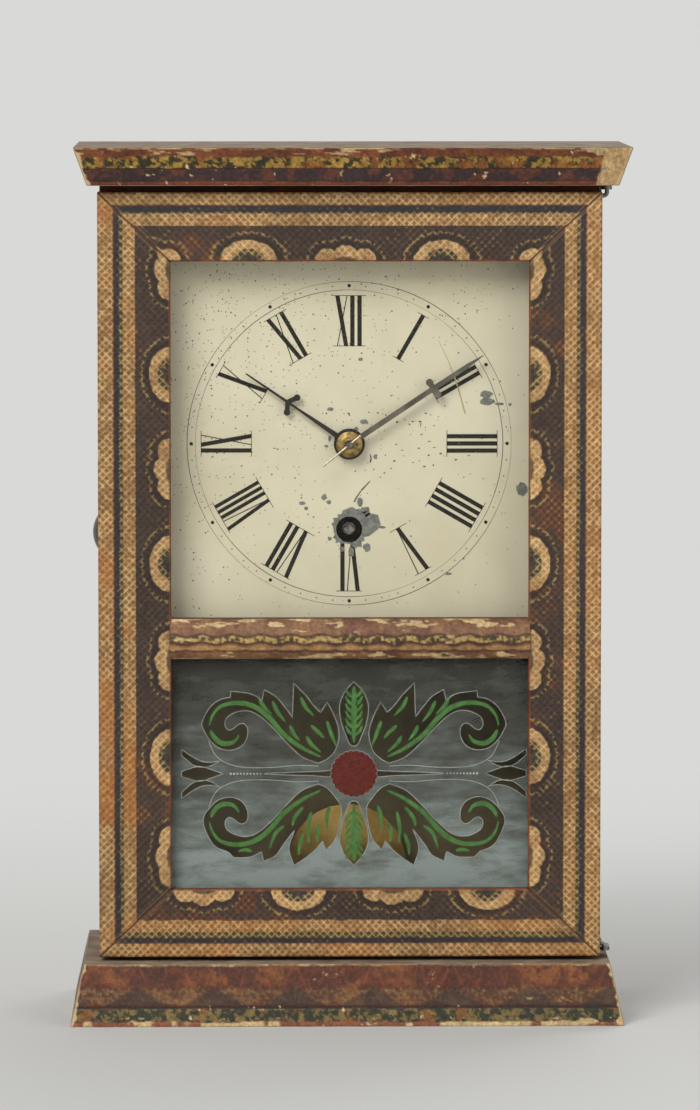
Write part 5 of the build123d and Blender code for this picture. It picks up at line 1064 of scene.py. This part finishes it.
def brushed(points, quarter, width, blunt=0.25):
    """One pull of the brush: it swells from a point and thins out again."""
    path = drawn(on_tablet(points, quarter), closed=False, steps=6)
    t = np.linspace(0, 1, len(path))
    green.ribbon(path, width * (blunt + (1 - blunt) * np.sin(math.pi * t**0.75) ** 0.8))


lower_strokes = [
    [(17.7, 11.7), (20.6, 15.3), (21.4, 18.4)], [(24.2, 18.2), (27.5, 21.1), (29.3, 26.4)],
    [(14.9, 13.2), (15.9, 18.8), (15.7, 24.3)], [(8.3, 11.1), (9.4, 15.2), (9.5, 19.6)],
    [(12, 17.5), (12.8, 20.5), (12.6, 24)], [(17.5, 21), (18.9, 25), (19.2, 28.6)],
    [(35.5, 27.2), (37.8, 26.6), (40.3, 27.2)]]
for quarter in quarters:
    for stroke in stem_strokes:
        brushed(stroke, quarter, 1.75)
    for stroke in leaf_strokes if quarter[1] > 0 else lower_strokes:
        brushed(stroke, quarter, 1.35, 0.15)
for sz in (1, -1):
    brushed([(0, 30.6), (0.1, 24), (0, 17), (0, 10.8)], (1, sz), 2.0)
    for k in range(6):
        for sx in (1, -1):
            z = 13.5 + 2.6 * k
            brushed([(sx * 0.7, z), (sx * 2.0, z + 1.5), (sx * 3.1, z + 3.4)], (1, sz), 1.15, 0.1)
green.piece("tablet_leaves", leaf_green, "door", "painted_glass")

rosette = Slabs(tablet_back + 0.015, tablet_back + 0.1)
scallops = 24
round_steps = np.linspace(0, TAU, 12 * scallops, endpoint=False)
rosette_edge = [(rosette_x + (rosette_radius + 0.5 * abs(math.sin(t * scallops / 2))) * math.cos(t),
                 rosette_z + (rosette_radius + 0.5 * abs(math.sin(t * scallops / 2))) * math.sin(t))
                for t in round_steps]
rosette.outline(rosette_edge)
rosette.piece("tablet_rosette", rosette_red, "door", "painted_glass")
drawn_curve("tablet_rosette_line", [(rosette_edge, True)], tablet_back + 0.14, line_white, "door",
            radius=0.12)
beads = Slabs(tablet_back + 0.05, tablet_back + 0.15)
for sx in (1, -1):
    for k in range(10):
        x = rosette_x + sx * (32.5 + 1.15 * k)
        radius = 0.26 + 0.02 * k
        beads.outline(disc((x, rosette_z), radius, 10))
beads.piece("tablet_beads", line_white, "door", "painted_glass")

def seen_rays(tree):
    """1 for what the camera sees, straight or in a gloss or through glass, and 0 for other light."""
    ray = add(tree, "LightPath")
    both = add(tree, "Math", {0: ray.outputs["Is Camera Ray"], 1: ray.outputs["Is Glossy Ray"]},
               operation="MAXIMUM")
    return add(tree, "Math", {0: both.outputs[0], 1: ray.outputs["Is Transmission Ray"]},
               operation="MAXIMUM").outputs[0]


# Floor: pale seamless paper that runs far back. The camera sees it and the sky at one pale level.
pale = (*tint("#D9D9D7"), 1)
fade_start, fade_end = -0.1, 0.7
floor_mesh = bpy.data.meshes.new("floor")
floor_mesh.from_pydata([(-30, -8, 0), (30, -8, 0), (30, 60, 0), (-30, 60, 0)], [], [(0, 1, 2, 3)])
floor = bpy.data.objects.new("floor", floor_mesh)
bpy.context.scene.collection.objects.link(floor)
floor_finish, tree, shader = start_finish("seamless_paper", Roughness=0.85, IOR=1.45)
soft = add(tree, "TexNoise", {"Scale": 3.0, "Detail": 2.0})
tone = add(tree, "ValToRGB", {"Fac": soft.outputs["Fac"]})
set_ramp(tone.color_ramp, [(0.3, "#D6D6D3"), (0.7, "#DADAD8")])
tree.links.new(tone.outputs["Color"], shader.inputs["Base Color"])
behind = add(tree, "SeparateXYZ", {"Vector": add(tree, "TexCoord").outputs["Object"]})
fade = add(tree, "MapRange", {"Value": behind.outputs["Y"], "From Min": fade_start, "From Max": fade_end},
           interpolation_type="SMOOTHSTEP")
seen = seen_rays(tree)
share = add(tree, "Math", {0: seen, 1: fade.outputs[0]}, operation="MULTIPLY")
glow = add(tree, "Emission", {"Color": pale, "Strength": 1.0})
both = add(tree, "MixShader", {0: share.outputs[0], 1: shader.outputs[0], 2: glow.outputs[0]})
tree.links.new(both.outputs[0], tree.nodes["Material Output"].inputs["Surface"])
floor_mesh.materials.append(floor_finish)

world = bpy.data.worlds.new("studio")
bpy.context.scene.world = world
world.use_nodes = True
tree = world.node_tree
background = tree.nodes["Background"]
seen = seen_rays(tree)
sky_level = 0.42
strength = add(tree, "MapRange", {"Value": seen, "To Min": sky_level, "To Max": 1.0})
tree.links.new(strength.outputs[0], background.inputs["Strength"])
background.inputs["Color"].default_value = pale


def lamp(name, size, power, place, aim):
    """A soft rectangular lamp at a place, turned to an aim point, both in metres."""
    data = bpy.data.lights.new(name, "AREA")
    data.shape, data.size, data.size_y, data.energy = "RECTANGLE", *size, power
    light = bpy.data.objects.new(name, data)
    bpy.context.scene.collection.objects.link(light)
    light.location = place
    from_to = np.array(aim) - np.array(place)
    tilt, turn = math.atan2(math.hypot(*from_to[:2]), -from_to[2]), math.atan2(-from_to[0], from_to[1])
    light.rotation_euler = tilt, 0, turn


clock_middle = (0, -0.03, 0.16)
lamp("key", (0.9, 0.9), 24, (-0.75, -1.35, 1.25), clock_middle)
lamp("fill", (1.4, 1.2), 9, (1.3, -1.5, 0.6), clock_middle)
lamp("rim", (1.0, 0.6), 6, (0.4, 1.0, 1.2), clock_middle)

# Camera: a long lens, a little left of the middle and above the clock, as the photograph was taken
camera_data = bpy.data.cameras.new("camera")
camera = bpy.data.objects.new("camera", camera_data)
bpy.context.scene.collection.objects.link(camera)
bpy.context.scene.camera = camera
camera_data.sensor_width = 36.0
camera_data.lens = 214.05
camera.location = (-0.0377, -2.308, 0.361)
camera_pitch, camera_yaw = 4.97, 0.95
camera.rotation_euler = (math.radians(90 - camera_pitch), 0, math.radians(-camera_yaw))

bpy.context.scene.view_settings.view_transform = "Standard"
